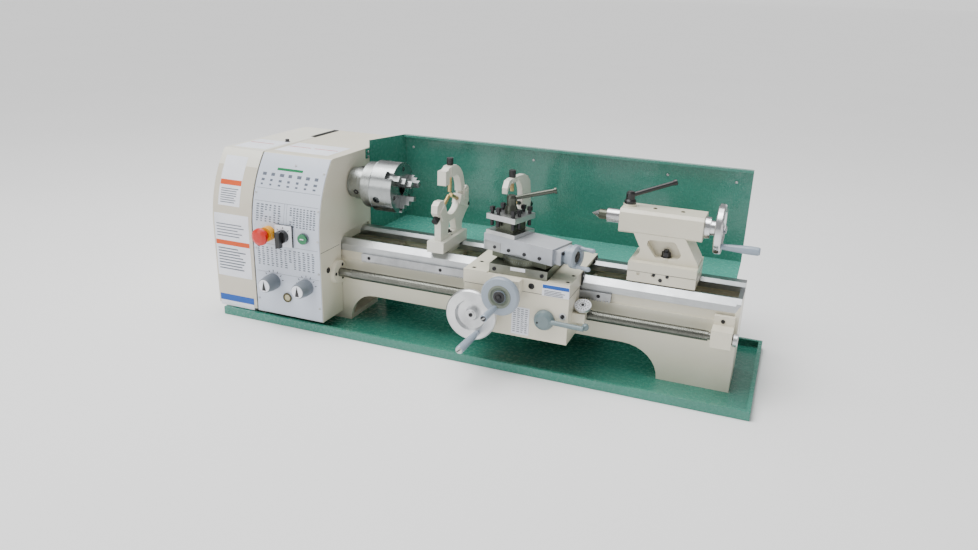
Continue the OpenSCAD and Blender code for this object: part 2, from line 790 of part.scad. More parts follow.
module top_slide() color("lightgray") on_swivel() {
    x0 = -91;
    x1 = 92;
    y = 39;
    difference() {
        union() {
            block([x0, -y, base_top], [x1, y, top_slide_z]);
            block([x1 - 1, -30, base_top + 3], [x1 + 16, 30, top_slide_z - 4]);
        }
        along_x(x0 - 1, x1 - 14) polygon([
            [-18.6, base_top - 2], [18.6, base_top - 2], [25.7, base_top + 14.5], [-25.7, base_top + 14.5]
        ]);
        rod_x(x1 - 60, x1 + 17, 0, slide_screw_z, 6 + fit);
    }
    rod_z(top_slide_z, top_slide_z + 72, post_x, 0, 8);
}
slide_screw_z = 282;

module top_slide_handwheel() color("gainsboro") on_swivel() {
    x0 = 108 + gap;
    union() {
        rod_x(x0 - 30, x0 + 1, 0, slide_screw_z, 6);
        rod_x(x0, x0 + 10, 0, slide_screw_z, 21);
        turned_x(x0 + 10, 0, slide_screw_z) polygon([
            [0, 0], [18, 0], [26, 3], [26, 13], [23, 15], [15, 15], [13, 11], [0, 11]
        ]);
        for (s = [-1, 1]) turned_x(x0 + 23, 8 * s, slide_screw_z + 18.5 * s) polygon([
            [0, 0], [4, 0], [4.5, 4], [3.6, 10], [5.2, 32], [3, 36], [0, 36]
        ]);
    }
}

// ---- tool post ----

module tool_post() color("silver") on_swivel() difference() {
    z0 = top_slide_z + gap;
    half = 39;
    waist = 24;
    union() {
        block([post_x - half, -half, z0], [post_x + half, half, z0 + 9]);
        block([post_x - waist, -waist, z0 + 8], [post_x + waist, waist, z0 + 35]);
        block([post_x - half, -half, z0 + 34], [post_x + half, half, z0 + 46]);
    }
    rod_z(z0 - 1, z0 + 47, post_x, 0, 8 + fit);
    for (s = post_screw_places()) rod_z(z0 + 33, z0 + 47, post_x + s[0], s[1], 4);
}

// two clamping screws over each of the four tool slots
function post_screw_places() =
    [for (a = [0:90:270], t = [-12, 28]) let (o = 31)
        [o * cos(a) - t * sin(a), o * sin(a) + t * cos(a)]];

module tool_post_screws() color("black") on_swivel() {
    z0 = top_slide_z + gap + 18;
    for (s = post_screw_places()) translate([post_x + s[0], s[1], z0]) {
        cylinder(h = 36, r = 4);
        translate([-4.5, -4.5, 34]) cube([9, 9, 9]);
    }
}

module tool_post_lever() color("dimgray") on_swivel()
    translate([post_x, 0, top_slide_z + 46 + 2 * gap]) difference() {
    lever_a = 14;
    union() {
        rotate_extrude() polygon([[0, 0], [15, 0], [15, 8], [11, 18], [11, 34], [9, 40], [0, 40]]);
        rotate([0, 0, lever_a - slide_a]) translate([6, 0, 34]) rotate([0, 76, 0]) {
            cylinder(h = 92, r = 5);
            translate([0, 0, 90]) cylinder(h = 5, r = 7);
        }
    }
    translate([0, 0, -1]) cylinder(h = 27, r = 8 + fit);
}

// ---- rests ----

finger_r = 5;

// what is drawn along +Y, turned by an angle round the line of centres at x
module at_work(x, a) {
    translate([x, axis_y, axis_z]) rotate([a, 0, 0]) children();
}

// a round rod pointing at the work from radius r0 out to r1
module pointing(x, a, r0, r1, r) {
    at_work(x, a) translate([0, r0, 0]) rotate([-90, 0, 0]) cylinder(h = r1 - r0, r = r);
}

// a brass finger with the knurled screw that sets it
module finger(x, a, r0, r1) {
    pointing(x, a, r0, r1 + 2, finger_r);
    pointing(x, a, r1, r1 + 16, 8);
}

steady_front_a = 211;
steady_back_a = -24;
steady_pivot = [58, 340];
steady_inner = 48;
rest_z0 = way_z + 0.4;

module steady_rest_base() color("ivory") difference() {
    w = 8;
    ear = 12;
    union() {
        block([steady_x - 23, bed_front - 8, rest_z0], [steady_x + 20, bed_back - 2, rest_z0 + 26]);
        block([steady_x - 18, -49.5, rest_z0 - 12], [steady_x + 15, 12, rest_z0 + 1]);
        along_x(steady_x - w, steady_x + w) difference() {
            polygon([
                [-84, 240], [38, 240], [42, 266], [64, 284], [84, 296], [82, 316], [66, 330],
                [50, 330], [24, 330], [-64, 342], [-90, 344], [-104, 336], [-106, 318], [-88, 300],
                [-85, 279]
            ]);
            translate([axis_y, axis_z]) circle(r = steady_inner);
        }
        at_work(steady_x, steady_front_a) block([-11, steady_inner, -13], [11, 78, 13]);
        at_work(steady_x, steady_back_a) block([-11, steady_inner, -12], [11, 98, 12]);
        rod_x(steady_x - ear, steady_x + ear, steady_pivot[0], steady_pivot[1], 13);
        along_x(steady_x - ear, steady_x + ear)
            polygon([[46, 318], [70, 316], [70.9, 338], [45.1, 338]]);
    }
    // the window in the column
    along_x(steady_x - 30, steady_x + 30) polygon([[-46, 252], [6, 252], [-4, 284], [-36, 284]]);
    pointing(steady_x, steady_front_a, 20, 120, finger_r);
    pointing(steady_x, steady_back_a, 20, 140, finger_r);
    // seats for the knurled screws
    pointing(steady_x, steady_front_a, 79.5, 120, 9);
    pointing(steady_x, steady_back_a, 101.5, 140, 9);
    // the fork for the arm and its pin
    rod_x(steady_x - 5.3, steady_x + 5.3, steady_pivot[0], steady_pivot[1], 14.5);
    rod_x(steady_x - ear - 1, steady_x + ear + 1, steady_pivot[0], steady_pivot[1], 4 + fit);
}

module steady_rest_arm() color("ivory") {
    ring0 = 51;
    ring1 = 71;
    difference() {
        union() {
            along_x(steady_x - 9, steady_x + 9) translate([axis_y, axis_z]) difference() {
                circle(r = ring1);
                circle(r = ring0);
                polygon([[0, 0], [300, -15], [300, -300], [-300, -300], [-300, 375]]);
            }
            at_work(steady_x, 90) block([-11, ring0 - 6, -15], [11, ring1 - 1, 15]);
            block([steady_x - 11, -66, 376], [steady_x + 11, -45, 410]);
        }
        for (s = [-1, 1]) translate([s * 17.3, 0, 0])
            rod_x(steady_x - 12, steady_x + 12, steady_pivot[0], steady_pivot[1], 14);
        pointing(steady_x, 90, 20, 120, finger_r);
    }
    difference() {
        union() {
            rod_x(steady_x - 5, steady_x + 5, steady_pivot[0], steady_pivot[1], 13);
            rod_x(steady_x - 14, steady_x + 14, steady_pivot[0], steady_pivot[1], 4);
            along_x(steady_x - 5, steady_x + 5) polygon([[45, 342], [70, 346], [44, 372], [34, 362]]);
        }
        rod_x(steady_x - 20, steady_x + 20, axis_y, axis_z, ring0 + 2);
    }
}

module steady_rest_fingers() color("goldenrod") {
    finger(steady_x, steady_front_a, 6.5, 80);
    finger(steady_x, steady_back_a, 6.5, 102);
}

module steady_rest_top_finger() color("goldenrod") {
    finger(steady_x, 90, 6.5, 72);
}

follow_back_a = -14.7;

module follow_rest() color("ivory") difference() {
    w = 7;
    union() {
        block([follow_x - 22, 14, carr_top], [follow_x + 5, 57, carr_top + 14]);
        along_x(follow_x - w, follow_x + w - 1) difference() {
            polygon([
                [18, carr_top], [56, carr_top], [57, 244], [72, 262], [92, 286], [101, 312],
                [101, 350], [92, 375], [72, 392], [48, 400], [4, 404], [-40, 406], [-58, 404],
                [-70, 390], [-68, 372], [-20, 350], [40, 300], [34, 262], [18, 246]
            ]);
            translate([axis_y, axis_z - 2]) circle(r = 58);
        }
        at_work(follow_x, 90) block([-9, 48, -14], [7, 56, 14]);
        at_work(follow_x, follow_back_a) block([-9, 64, -13], [7, 124, 13]);
    }
    pointing(follow_x - 1, 90, 10, 120, finger_r);
    pointing(follow_x - 1, follow_back_a, 10, 160, finger_r);
}

module follow_rest_fingers() color("goldenrod") {
    finger(follow_x - 1, 90, 27, 60);
    finger(follow_x - 1, follow_back_a, 27, 128);
}

// ---- tailstock ----

module tailstock_base() color("antiquewhite") difference() {
    union() {
        block([tail_x0, bed_y - 55, rest_z0], [tail_x1, bed_y + 55, 243]);
        block([tail_x0 + 4, -49.5, rest_z0 - 12], [tail_x1 - 4, 12, rest_z0 + 1]);
    }
    for (x = [378, 410]) rod_y(bed_y - 56, bed_y - 52, x, 238, 3.5);
}

module tailstock_body() color("antiquewhite") {
    half = 37;
    foot = 55;
    x1 = tail_x1;
    difference() {
        union() {
            block([tail_x0, bed_y - foot, 243], [x1, bed_y + foot, 263]);
            along_y(bed_y - half, bed_y + half) polygon([
                [tail_x0 + 2, 262], [x1 - 2, 262], [x1 - 2, 268], [x1 - 5, 275], [x1 - 34, 324],
                [tail_x0 + 2, 324], [tail_x0 + 20, 290], [tail_x0 + 19, 280], [tail_x0 + 10, 268],
                [tail_x0 + 2, 265]
            ]);
            along_x(tail_body_x0, x1) polygon([
                [bed_y - half + 4, 321], [bed_y + half - 4, 321], [bed_y + half, 325],
                [bed_y + half, 366], [bed_y + half - 7, 373], [bed_y - half + 7, 373],
                [bed_y - half, 366], [bed_y - half, 325]
            ]);
            rod_z(372, 378, 336, bed_y, 14);
        }
        rod_x(tail_body_x0 - 1, x1 - 8, axis_y, axis_z, quill_d / 2 + fit);
        rod_x(x1 - 9, x1 + 1, axis_y, axis_z, 8 + fit);
        rod_z(364, 379, 336, bed_y, 6 + fit);
        // the pocket with the clamping nut
        hull() {
            for (c = [[397, 303, 9], [443, 304, 9], [413, 281, 8], [452, 286, 10]])
                rod_y(bed_y - half - 1, bed_y - half + 20, c[0], c[1], c[2]);
        }
    }
    translate([430, bed_y - half + 10, 272]) {
        cylinder(h = 4, r = 12);
        translate([0, 0, 3.5]) cylinder(h = 12, r = 10, $fn = 6);
        cylinder(h = 21, r = 5.5);
    }
}

module tailstock_quill() color("silver") difference() {
    x0 = tail_body_x0 - quill_out;
    rod_x(x0, x0 + 182, axis_y, axis_z, quill_d / 2);
    translate([x0, axis_y, axis_z]) rotate([0, 90, 0]) cylinder(h = 66, r1 = 11.9, r2 = 10.25);
    rod_x(x0 + 65, x0 + 183, axis_y, axis_z, 8 + gap);
}

module dead_center() color("dimgray") {
    x0 = tail_body_x0 - quill_out;
    translate([x0, axis_y, axis_z]) rotate([0, 90, 0]) rotate_extrude() polygon([
        [0, -37], [10.5, -19], [11.2, -18.5], [11.2, -1], [11.9, 0], [10.4, 60], [0, 60]
    ]);
}

tail_handle_y = axis_y - 34;
tail_handle_z = axis_z - 28;

module tailstock_handwheel() color("silver") difference() {
    x = tail_wheel_x;
    r = tail_wheel_d / 2;
    union() {
        rod_x(tail_x1 - 70, x, axis_y, axis_z, 8);
        rod_x(tail_x1 + gap, tail_x1 + 12, axis_y, axis_z, 24);
        rod_x(tail_x1 + 11, x + 1, axis_y, axis_z, 17);
        turned_x(x, axis_y, axis_z) polygon([
            [0, 0], [16, 0], [r - 18, 4], [r - 2, 2], [r, 4], [r, 14], [r - 3, 17], [r - 17, 17],
            [r - 20, 12], [16, 9], [13, 16], [0, 16]
        ]);
    }
    rod_x(x + 6, x + 30, tail_handle_y, tail_handle_z, 4);
}

module tailstock_handle() color("slategray")
    turned_x(tail_wheel_x + 17 + gap, tail_handle_y, tail_handle_z) polygon([
        [0, -9], [4 - fit, -9], [4 - fit, 0], [6, 1], [7, 18], [9.2, 58], [9, 76], [7, 80], [0, 80]
    ]);

module quill_lock_lever() color("dimgray") translate([336, bed_y, 0]) {
    translate([0, 0, 366]) cylinder(h = 20, r = 6);
    translate([0, 0, 378 + gap]) rotate_extrude() polygon([
        [0, 0], [13, 0], [13, 6], [10, 10], [10, 22], [7, 27], [0, 27]
    ]);
    translate([0, 0, 396]) rotate([0, 0, 23]) rotate([0, 72, 0]) {
        cylinder(h = 98, r = 5);
        translate([0, 0, 96]) cylinder(h = 8, r = 6.5);
    }
}

// ---- controls ----

module emergency_stop() color("crimson") union() {
    rod_y(head_front - 34, head_front + 10, stop_x, control_z, 11);
    turned_y(stop_x, head_front - 31, control_z) polygon([
        [0, 0], [18.5, 0], [21.5, 4], [20.5, 10], [13, 14], [0, 15]
    ]);
}

module start_button() color("limegreen") union() {
    rod_y(head_front - 9, head_front + 10, start_x, control_z, 10);
    rod_y(head_front - 10, head_front - 7.6, start_x, control_z, 12.5);
}

module direction_switch() color("black") union() {
    rod_y(head_front - 8, head_front + 10, switch_x, control_z, 7);
    rod_y(head_front - 20, head_front - 6 - gap, switch_x, control_z, 16);
    block([switch_x - 6, head_front - 32, control_z - 24], [switch_x + 6, head_front - 19, control_z + 15]);
}

module gear_knob(x) {
    union() {
        rod_y(head_front - 2, head_front + 22, x, knob_z, 6);
        turned_y(x, head_front - gap, knob_z) polygon([
            [0, 0], [20, 0], [20.5, 2], [20, 20], [17.5, 38], [16, 40], [0, 40]
        ]);
        // the raised arrow on its face
        translate([x, head_front - 39.5, knob_z]) rotate([90, 0, 0]) linear_extrude(1.3)
            polygon([[-5.5, -11], [5.5, -11], [0, 12]]);
    }
}

module gear_knob_left() color("darkgray") gear_knob(knob_x[0]);
module gear_knob_right() color("darkgray") gear_knob(knob_x[1]);

module sight_glass() color("gold") union() {
    rod_y(head_front - 1, head_front + panel_t + head_wall - 1, sight_x, sight_z, 8);
    rod_y(head_front - 2.5, head_front, sight_x, sight_z, 10.5);
}

// ---- assembly ----

chip_tray();
backsplash();
bed();
rack();
cap_screws();
headstock();
gearbox_housing();
control_panel();
end_cover();
motor();
motor_pulley();
drive_belt();
spindle();
spindle_pulley();
idler_gear();
leadscrew_gear();
chuck_backplate();
chuck_body();
chuck_jaw_1();
chuck_jaw_2();
chuck_jaw_3();
leadscrew();
leadscrew_flange();
leadscrew_bracket();
saddle();
apron();
carriage_handwheel();
carriage_handle();
half_nut_lever();
half_nut();
thread_dial_body();
thread_dial();
cross_slide();
cross_handwheel();
cross_handle();
swivel_base();
top_slide();
top_slide_handwheel();
tool_post();
tool_post_screws();
tool_post_lever();
steady_rest_base();
steady_rest_arm();
steady_rest_fingers();
steady_rest_top_finger();
follow_rest();
follow_rest_fingers();
tailstock_base();
tailstock_body();
tailstock_quill();
dead_center();
tailstock_handwheel();
tailstock_handle();
quill_lock_lever();
emergency_stop();
start_button();
direction_switch();
gear_knob_left();
gear_knob_right();
sight_glass();
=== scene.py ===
"""Looks for a bench metal lathe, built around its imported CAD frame.

Places and sizes are in millimetres, except in lights, the floor and the grain of materials, which are in
metres.
"""
import bpy
import bmesh
import json
import math
import random
from mathutils import Matrix, Vector

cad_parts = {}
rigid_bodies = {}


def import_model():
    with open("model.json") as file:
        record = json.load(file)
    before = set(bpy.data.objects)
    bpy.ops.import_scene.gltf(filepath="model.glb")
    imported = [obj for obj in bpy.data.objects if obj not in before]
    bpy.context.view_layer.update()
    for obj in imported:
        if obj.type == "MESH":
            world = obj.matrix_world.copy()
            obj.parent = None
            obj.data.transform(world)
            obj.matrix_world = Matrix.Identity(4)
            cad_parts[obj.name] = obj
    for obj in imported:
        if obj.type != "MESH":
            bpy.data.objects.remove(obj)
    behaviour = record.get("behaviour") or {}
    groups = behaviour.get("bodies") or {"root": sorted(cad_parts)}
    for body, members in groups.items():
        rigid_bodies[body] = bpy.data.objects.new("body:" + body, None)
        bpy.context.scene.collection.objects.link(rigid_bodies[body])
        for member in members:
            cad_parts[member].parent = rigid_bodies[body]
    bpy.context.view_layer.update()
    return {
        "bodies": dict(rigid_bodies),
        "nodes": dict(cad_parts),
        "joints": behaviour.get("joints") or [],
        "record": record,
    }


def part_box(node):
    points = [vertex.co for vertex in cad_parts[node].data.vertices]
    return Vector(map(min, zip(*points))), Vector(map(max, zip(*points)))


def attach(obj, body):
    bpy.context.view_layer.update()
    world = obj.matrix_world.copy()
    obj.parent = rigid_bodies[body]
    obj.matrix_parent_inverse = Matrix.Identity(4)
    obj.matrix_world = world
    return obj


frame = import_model()
nodes = frame["nodes"]

# ---------------------------------------------------------------- places that several pieces share

MM = 0.001
FRONT = -184                                # y of the flat lower part of the headstock's front
BOW_R, BOW_Y, BOW_Z = 292, 108, 235         # radius and centre of its bowed upper part
SIDE = -362                                 # x of the headstock's side behind the chuck
TOP = 420                                   # z of the headstock's and the end cover's top
AXIS_Y, AXIS_Z = -20, 346                   # the spindle's axis
SCREW_Y, SCREW_Z = -115, 138                # the leadscrew's axis
STOP_X, SWITCH_X, START_X = -505, -460, -405
CONTROL_Z = 236                             # z of the stop, the switch and the start button
KNOB_X, KNOB_Z = (-500, -405), 112
SIGHT_X, SIGHT_Z = -461, 75
APRON_Y = -182                              # y of the front of apron and saddle
CARRIAGE_WHEEL = 45, 134                    # x and z of the two wheels' axes
CROSS_WHEEL = 118, 196
POST_X, POST_Y, POST_TURN = 135, -119, -16  # the top slide's pivot, and its turn at rest in degrees
NY, UP, PX = (0, -1, 0), (0, 0, 1), (1, 0, 0)


def front_y(z):
    """Where the front of the headstock is at height z: flat low down, bowed above."""
    return BOW_Y - math.sqrt(BOW_R ** 2 - max(0, z - BOW_Z) ** 2)


# ---------------------------------------------------------------- materials

EDGE = 0.0005           # radius of the soft edges of bare metal, in metres


def srgb(r, g, b):
    out = []
    for v in (r, g, b):
        v /= 255.0
        out.append(v / 12.92 if v <= 0.04045 else ((v + 0.055) / 1.055) ** 2.4)
    return (*out, 1.0)


def scaled(c, k):
    """A colour made lighter or darker by the factor k."""
    return (min(1, c[0] * k), min(1, c[1] * k), min(1, c[2] * k), 1.0)


class Nodes:
    """A small builder for one procedural material."""

    def __init__(self, name):
        self.mat = bpy.data.materials.new(name)
        self.mat.use_nodes = True
        self.t = self.mat.node_tree
        self.t.nodes.clear()
        self.out = self.add("ShaderNodeOutputMaterial")
        self.bsdf = self.add("ShaderNodeBsdfPrincipled")
        self.link(self.bsdf.outputs["BSDF"], self.out.inputs["Surface"])
        self.tc = self.add("ShaderNodeTexCoord")

    def add(self, kind):
        return self.t.nodes.new(kind)

    def link(self, a, b):
        self.t.links.new(a, b)

    def put(self, sock, v):
        """Links a socket to another one, or sets it to a value."""
        if isinstance(v, bpy.types.NodeSocket):
            self.link(v, sock)
        else:
            sock.default_value = v

    def coords(self, scale=(1, 1, 1), loc=(0, 0, 0)):
        m = self.add("ShaderNodeMapping")
        m.inputs["Location"].default_value = loc
        m.inputs["Scale"].default_value = scale
        self.link(self.tc.outputs["Object"], m.inputs["Vector"])
        return m.outputs["Vector"]

    def noise(self, scale, detail=3.0, rough=0.5, vec=None):
        n = self.add("ShaderNodeTexNoise")
        n.inputs["Scale"].default_value = scale
        n.inputs["Detail"].default_value = detail
        n.inputs["Roughness"].default_value = rough
        self.link(vec if vec is not None else self.tc.outputs["Object"], n.inputs["Vector"])
        return n.outputs["Fac"]

    def cells(self, scale, smooth):
        n = self.add("ShaderNodeTexVoronoi")
        n.feature = "SMOOTH_F1"
        n.inputs["Scale"].default_value = scale
        n.inputs["Smoothness"].default_value = smooth
        self.link(self.tc.outputs["Object"], n.inputs["Vector"])
        return n.outputs["Distance"]

    def rings(self, axis, centre, scale, distort):
        """Fine turning marks about an axis through centre."""
        w = self.add("ShaderNodeTexWave")
        w.wave_type = "RINGS"
        w.rings_direction = axis
        w.inputs["Scale"].default_value = scale
        w.inputs["Distortion"].default_value = distort
        w.inputs["Detail"].default_value = 2.0
        self.link(self.coords(loc=tuple(-c / 1000 for c in centre)), w.inputs["Vector"])
        return w.outputs["Fac"]

    def ramp(self, fac, stops):
        r = self.add("ShaderNodeValToRGB")
        e = r.color_ramp.elements
        while len(e) < len(stops):
            e.new(0.5)
        for i, (p, c) in enumerate(stops):
            e[i].position = p
            e[i].color = c if len(c) == 4 else (*c, 1)
        self.link(fac, r.inputs["Fac"])
        return r.outputs["Color"]

    def grey(self, fac, p0, v0, p1, v1):
        return self.ramp(fac, [(p0, (v0, v0, v0)), (p1, (v1, v1, v1))])

    def mix(self, fac, a, b, mode="MIX"):
        m = self.add("ShaderNodeMix")
        m.data_type = "RGBA"
        m.blend_type = mode
        for sock, v in ((0, fac), (6, a), (7, b)):
            self.put(m.inputs[sock], v)
        return m.outputs[2]

    def maths(self, op, a, b):
        m = self.add("ShaderNodeMath")
        m.operation = op
        for i, v in enumerate((a, b)):
            self.put(m.inputs[i], v)
        return m.outputs[0]

    def bump(self, height, distance, strength, edge):
        """A bumped normal over edges rounded by edge, in metres."""
        soft = self.add("ShaderNodeBevel")
        soft.samples = 4
        soft.inputs["Radius"].default_value = edge
        b = self.add("ShaderNodeBump")
        b.inputs["Strength"].default_value = strength
        b.inputs["Distance"].default_value = distance
        self.link(height, b.inputs["Height"])
        self.link(soft.outputs["Normal"], b.inputs["Normal"])
        return b.outputs["Normal"]

    def finish(self, color, rough, normal=None, metallic=0.0, coat=0.0, coat_rough=0.1):
        self.put(self.bsdf.inputs["Base Color"], color)
        self.put(self.bsdf.inputs["Roughness"], rough)
        self.bsdf.inputs["Metallic"].default_value = metallic
        self.bsdf.inputs["Coat Weight"].default_value = coat
        self.bsdf.inputs["Coat Roughness"].default_value = coat_rough
        if normal is not None:
            self.link(normal, self.bsdf.inputs["Normal"])
        return self.mat


def hammertone(name, base, light, dark):
    """Hammered enamel: shallow cells a few millimetres wide with darker rims between them."""
    n = Nodes(name)
    wobble = n.noise(70, 2, 0.5)
    cell = n.cells(300, smooth=0.35)
    big = n.noise(6, 3, 0.55)
    spots = n.ramp(cell, [(0.12, light), (0.3, base), (0.85, dark)])
    cloud = n.ramp(big, [(0.3, scaled(base, 0.9)), (0.7, scaled(base, 1.14))])
    color = n.mix(0.65, spots, cloud)
    height = n.maths("ADD", cell, n.maths("MULTIPLY", wobble, 0.5))
    rough = n.grey(n.noise(120, 2), 0.3, 0.2, 0.7, 0.32)
    return n.finish(color, rough, n.bump(height, 0.0006, 0.5, 0.0009), coat=0.4, coat_rough=0.12)


def enamel(name, base, warm, orange_peel=0.35, rough=(0.28, 0.4), edge=0.0012, coat=0.25):
    """Filled and sprayed machine enamel: slight orange peel, soft casting waves, grime in patches."""
    n = Nodes(name)
    patches = n.noise(9, 4, 0.6)
    color = n.mix(n.grey(patches, 0.35, 0.0, 0.75, 0.6), base, warm)
    specks = n.ramp(n.noise(420, 2, 0.6), [(0.24, scaled(base, 0.55)), (0.3, (1, 1, 1, 1))])
    color = n.mix(0.35, color, specks, "MULTIPLY")
    peel = n.noise(380, 3, 0.55)
    wave = n.noise(38, 2, 0.5)
    height = n.maths("ADD", n.maths("MULTIPLY", peel, 0.35), wave)
    r = n.grey(n.noise(60, 3), 0.3, rough[0], 0.7, rough[1])
    return n.finish(color, r, n.bump(height, 0.0006, orange_peel, edge), coat=coat, coat_rough=0.15)


def ground_metal(name, base, along, rough=(0.2, 0.38), stain=0.35, metallic=1.0):
    """Ground or milled metal: fine lines along one direction, with faint stains."""
    n = Nodes(name)
    s = {"X": (0.02, 1, 1), "Y": (1, 0.02, 1), "Z": (1, 1, 0.02)}[along]
    grain = n.noise(900, 3, 0.7, n.coords(scale=s))
    film = n.noise(16, 5, 0.65)
    c = n.ramp(film, [(0.3, scaled(base, 1 - stain)), (0.62, base)])
    c = n.mix(n.grey(grain, 0.3, 0.0, 0.7, 0.22), c, scaled(base, 0.72))
    r = n.maths("ADD", n.grey(grain, 0.25, rough[0], 0.75, rough[1]), n.grey(film, 0.3, 0.1, 0.7, 0.0))
    return n.finish(c, r, n.bump(grain, 0.00005, 0.5, EDGE), metallic=metallic)


def turned_metal(name, base, axis, centre, rough=(0.18, 0.34), dark=0.78, metallic=1.0):
    """Turned metal: concentric tool marks on faces and rings along the sides."""
    n = Nodes(name)
    pitch = 0.0006
    s = {"X": (1, 0.02, 0.02), "Y": (0.02, 1, 0.02), "Z": (0.02, 0.02, 1)}[axis]
    side = n.noise(1500, 2, 0.7, n.coords(scale=s))
    face = n.rings(axis, centre, 1 / (pitch * 3.14), 0.6)
    film = n.noise(24, 4, 0.6)
    c = n.ramp(film, [(0.3, scaled(base, dark)), (0.65, base)])
    c = n.mix(n.grey(side, 0.3, 0.0, 0.7, 0.2), c, scaled(base, 0.7))
    marks = n.maths("ADD", side, n.maths("MULTIPLY", face, 0.6))
    r = n.maths("ADD", n.grey(side, 0.3, rough[0], 0.7, rough[1]), n.grey(film, 0.3, 0.08, 0.7, 0.0))
    return n.finish(c, r, n.bump(marks, 0.00004, 0.5, EDGE), metallic=metallic)


def moulded(name, base, rough=(0.3, 0.42), grain=900, height=0.00012, coat=0.0):
    """Plastic, rubber, felt, print or paint on a small part: fine grain and a faint change of tone."""
    n = Nodes(name)
    g = n.noise(grain, 3, 0.6)
    tone = n.ramp(n.noise(18, 3), [(0.3, scaled(base, 0.9)), (0.7, base)])
    return n.finish(tone, n.grey(g, 0.3, rough[0], 0.7, rough[1]), n.bump(g, height, 0.6, 0.0006),
                    coat=coat, coat_rough=0.08)


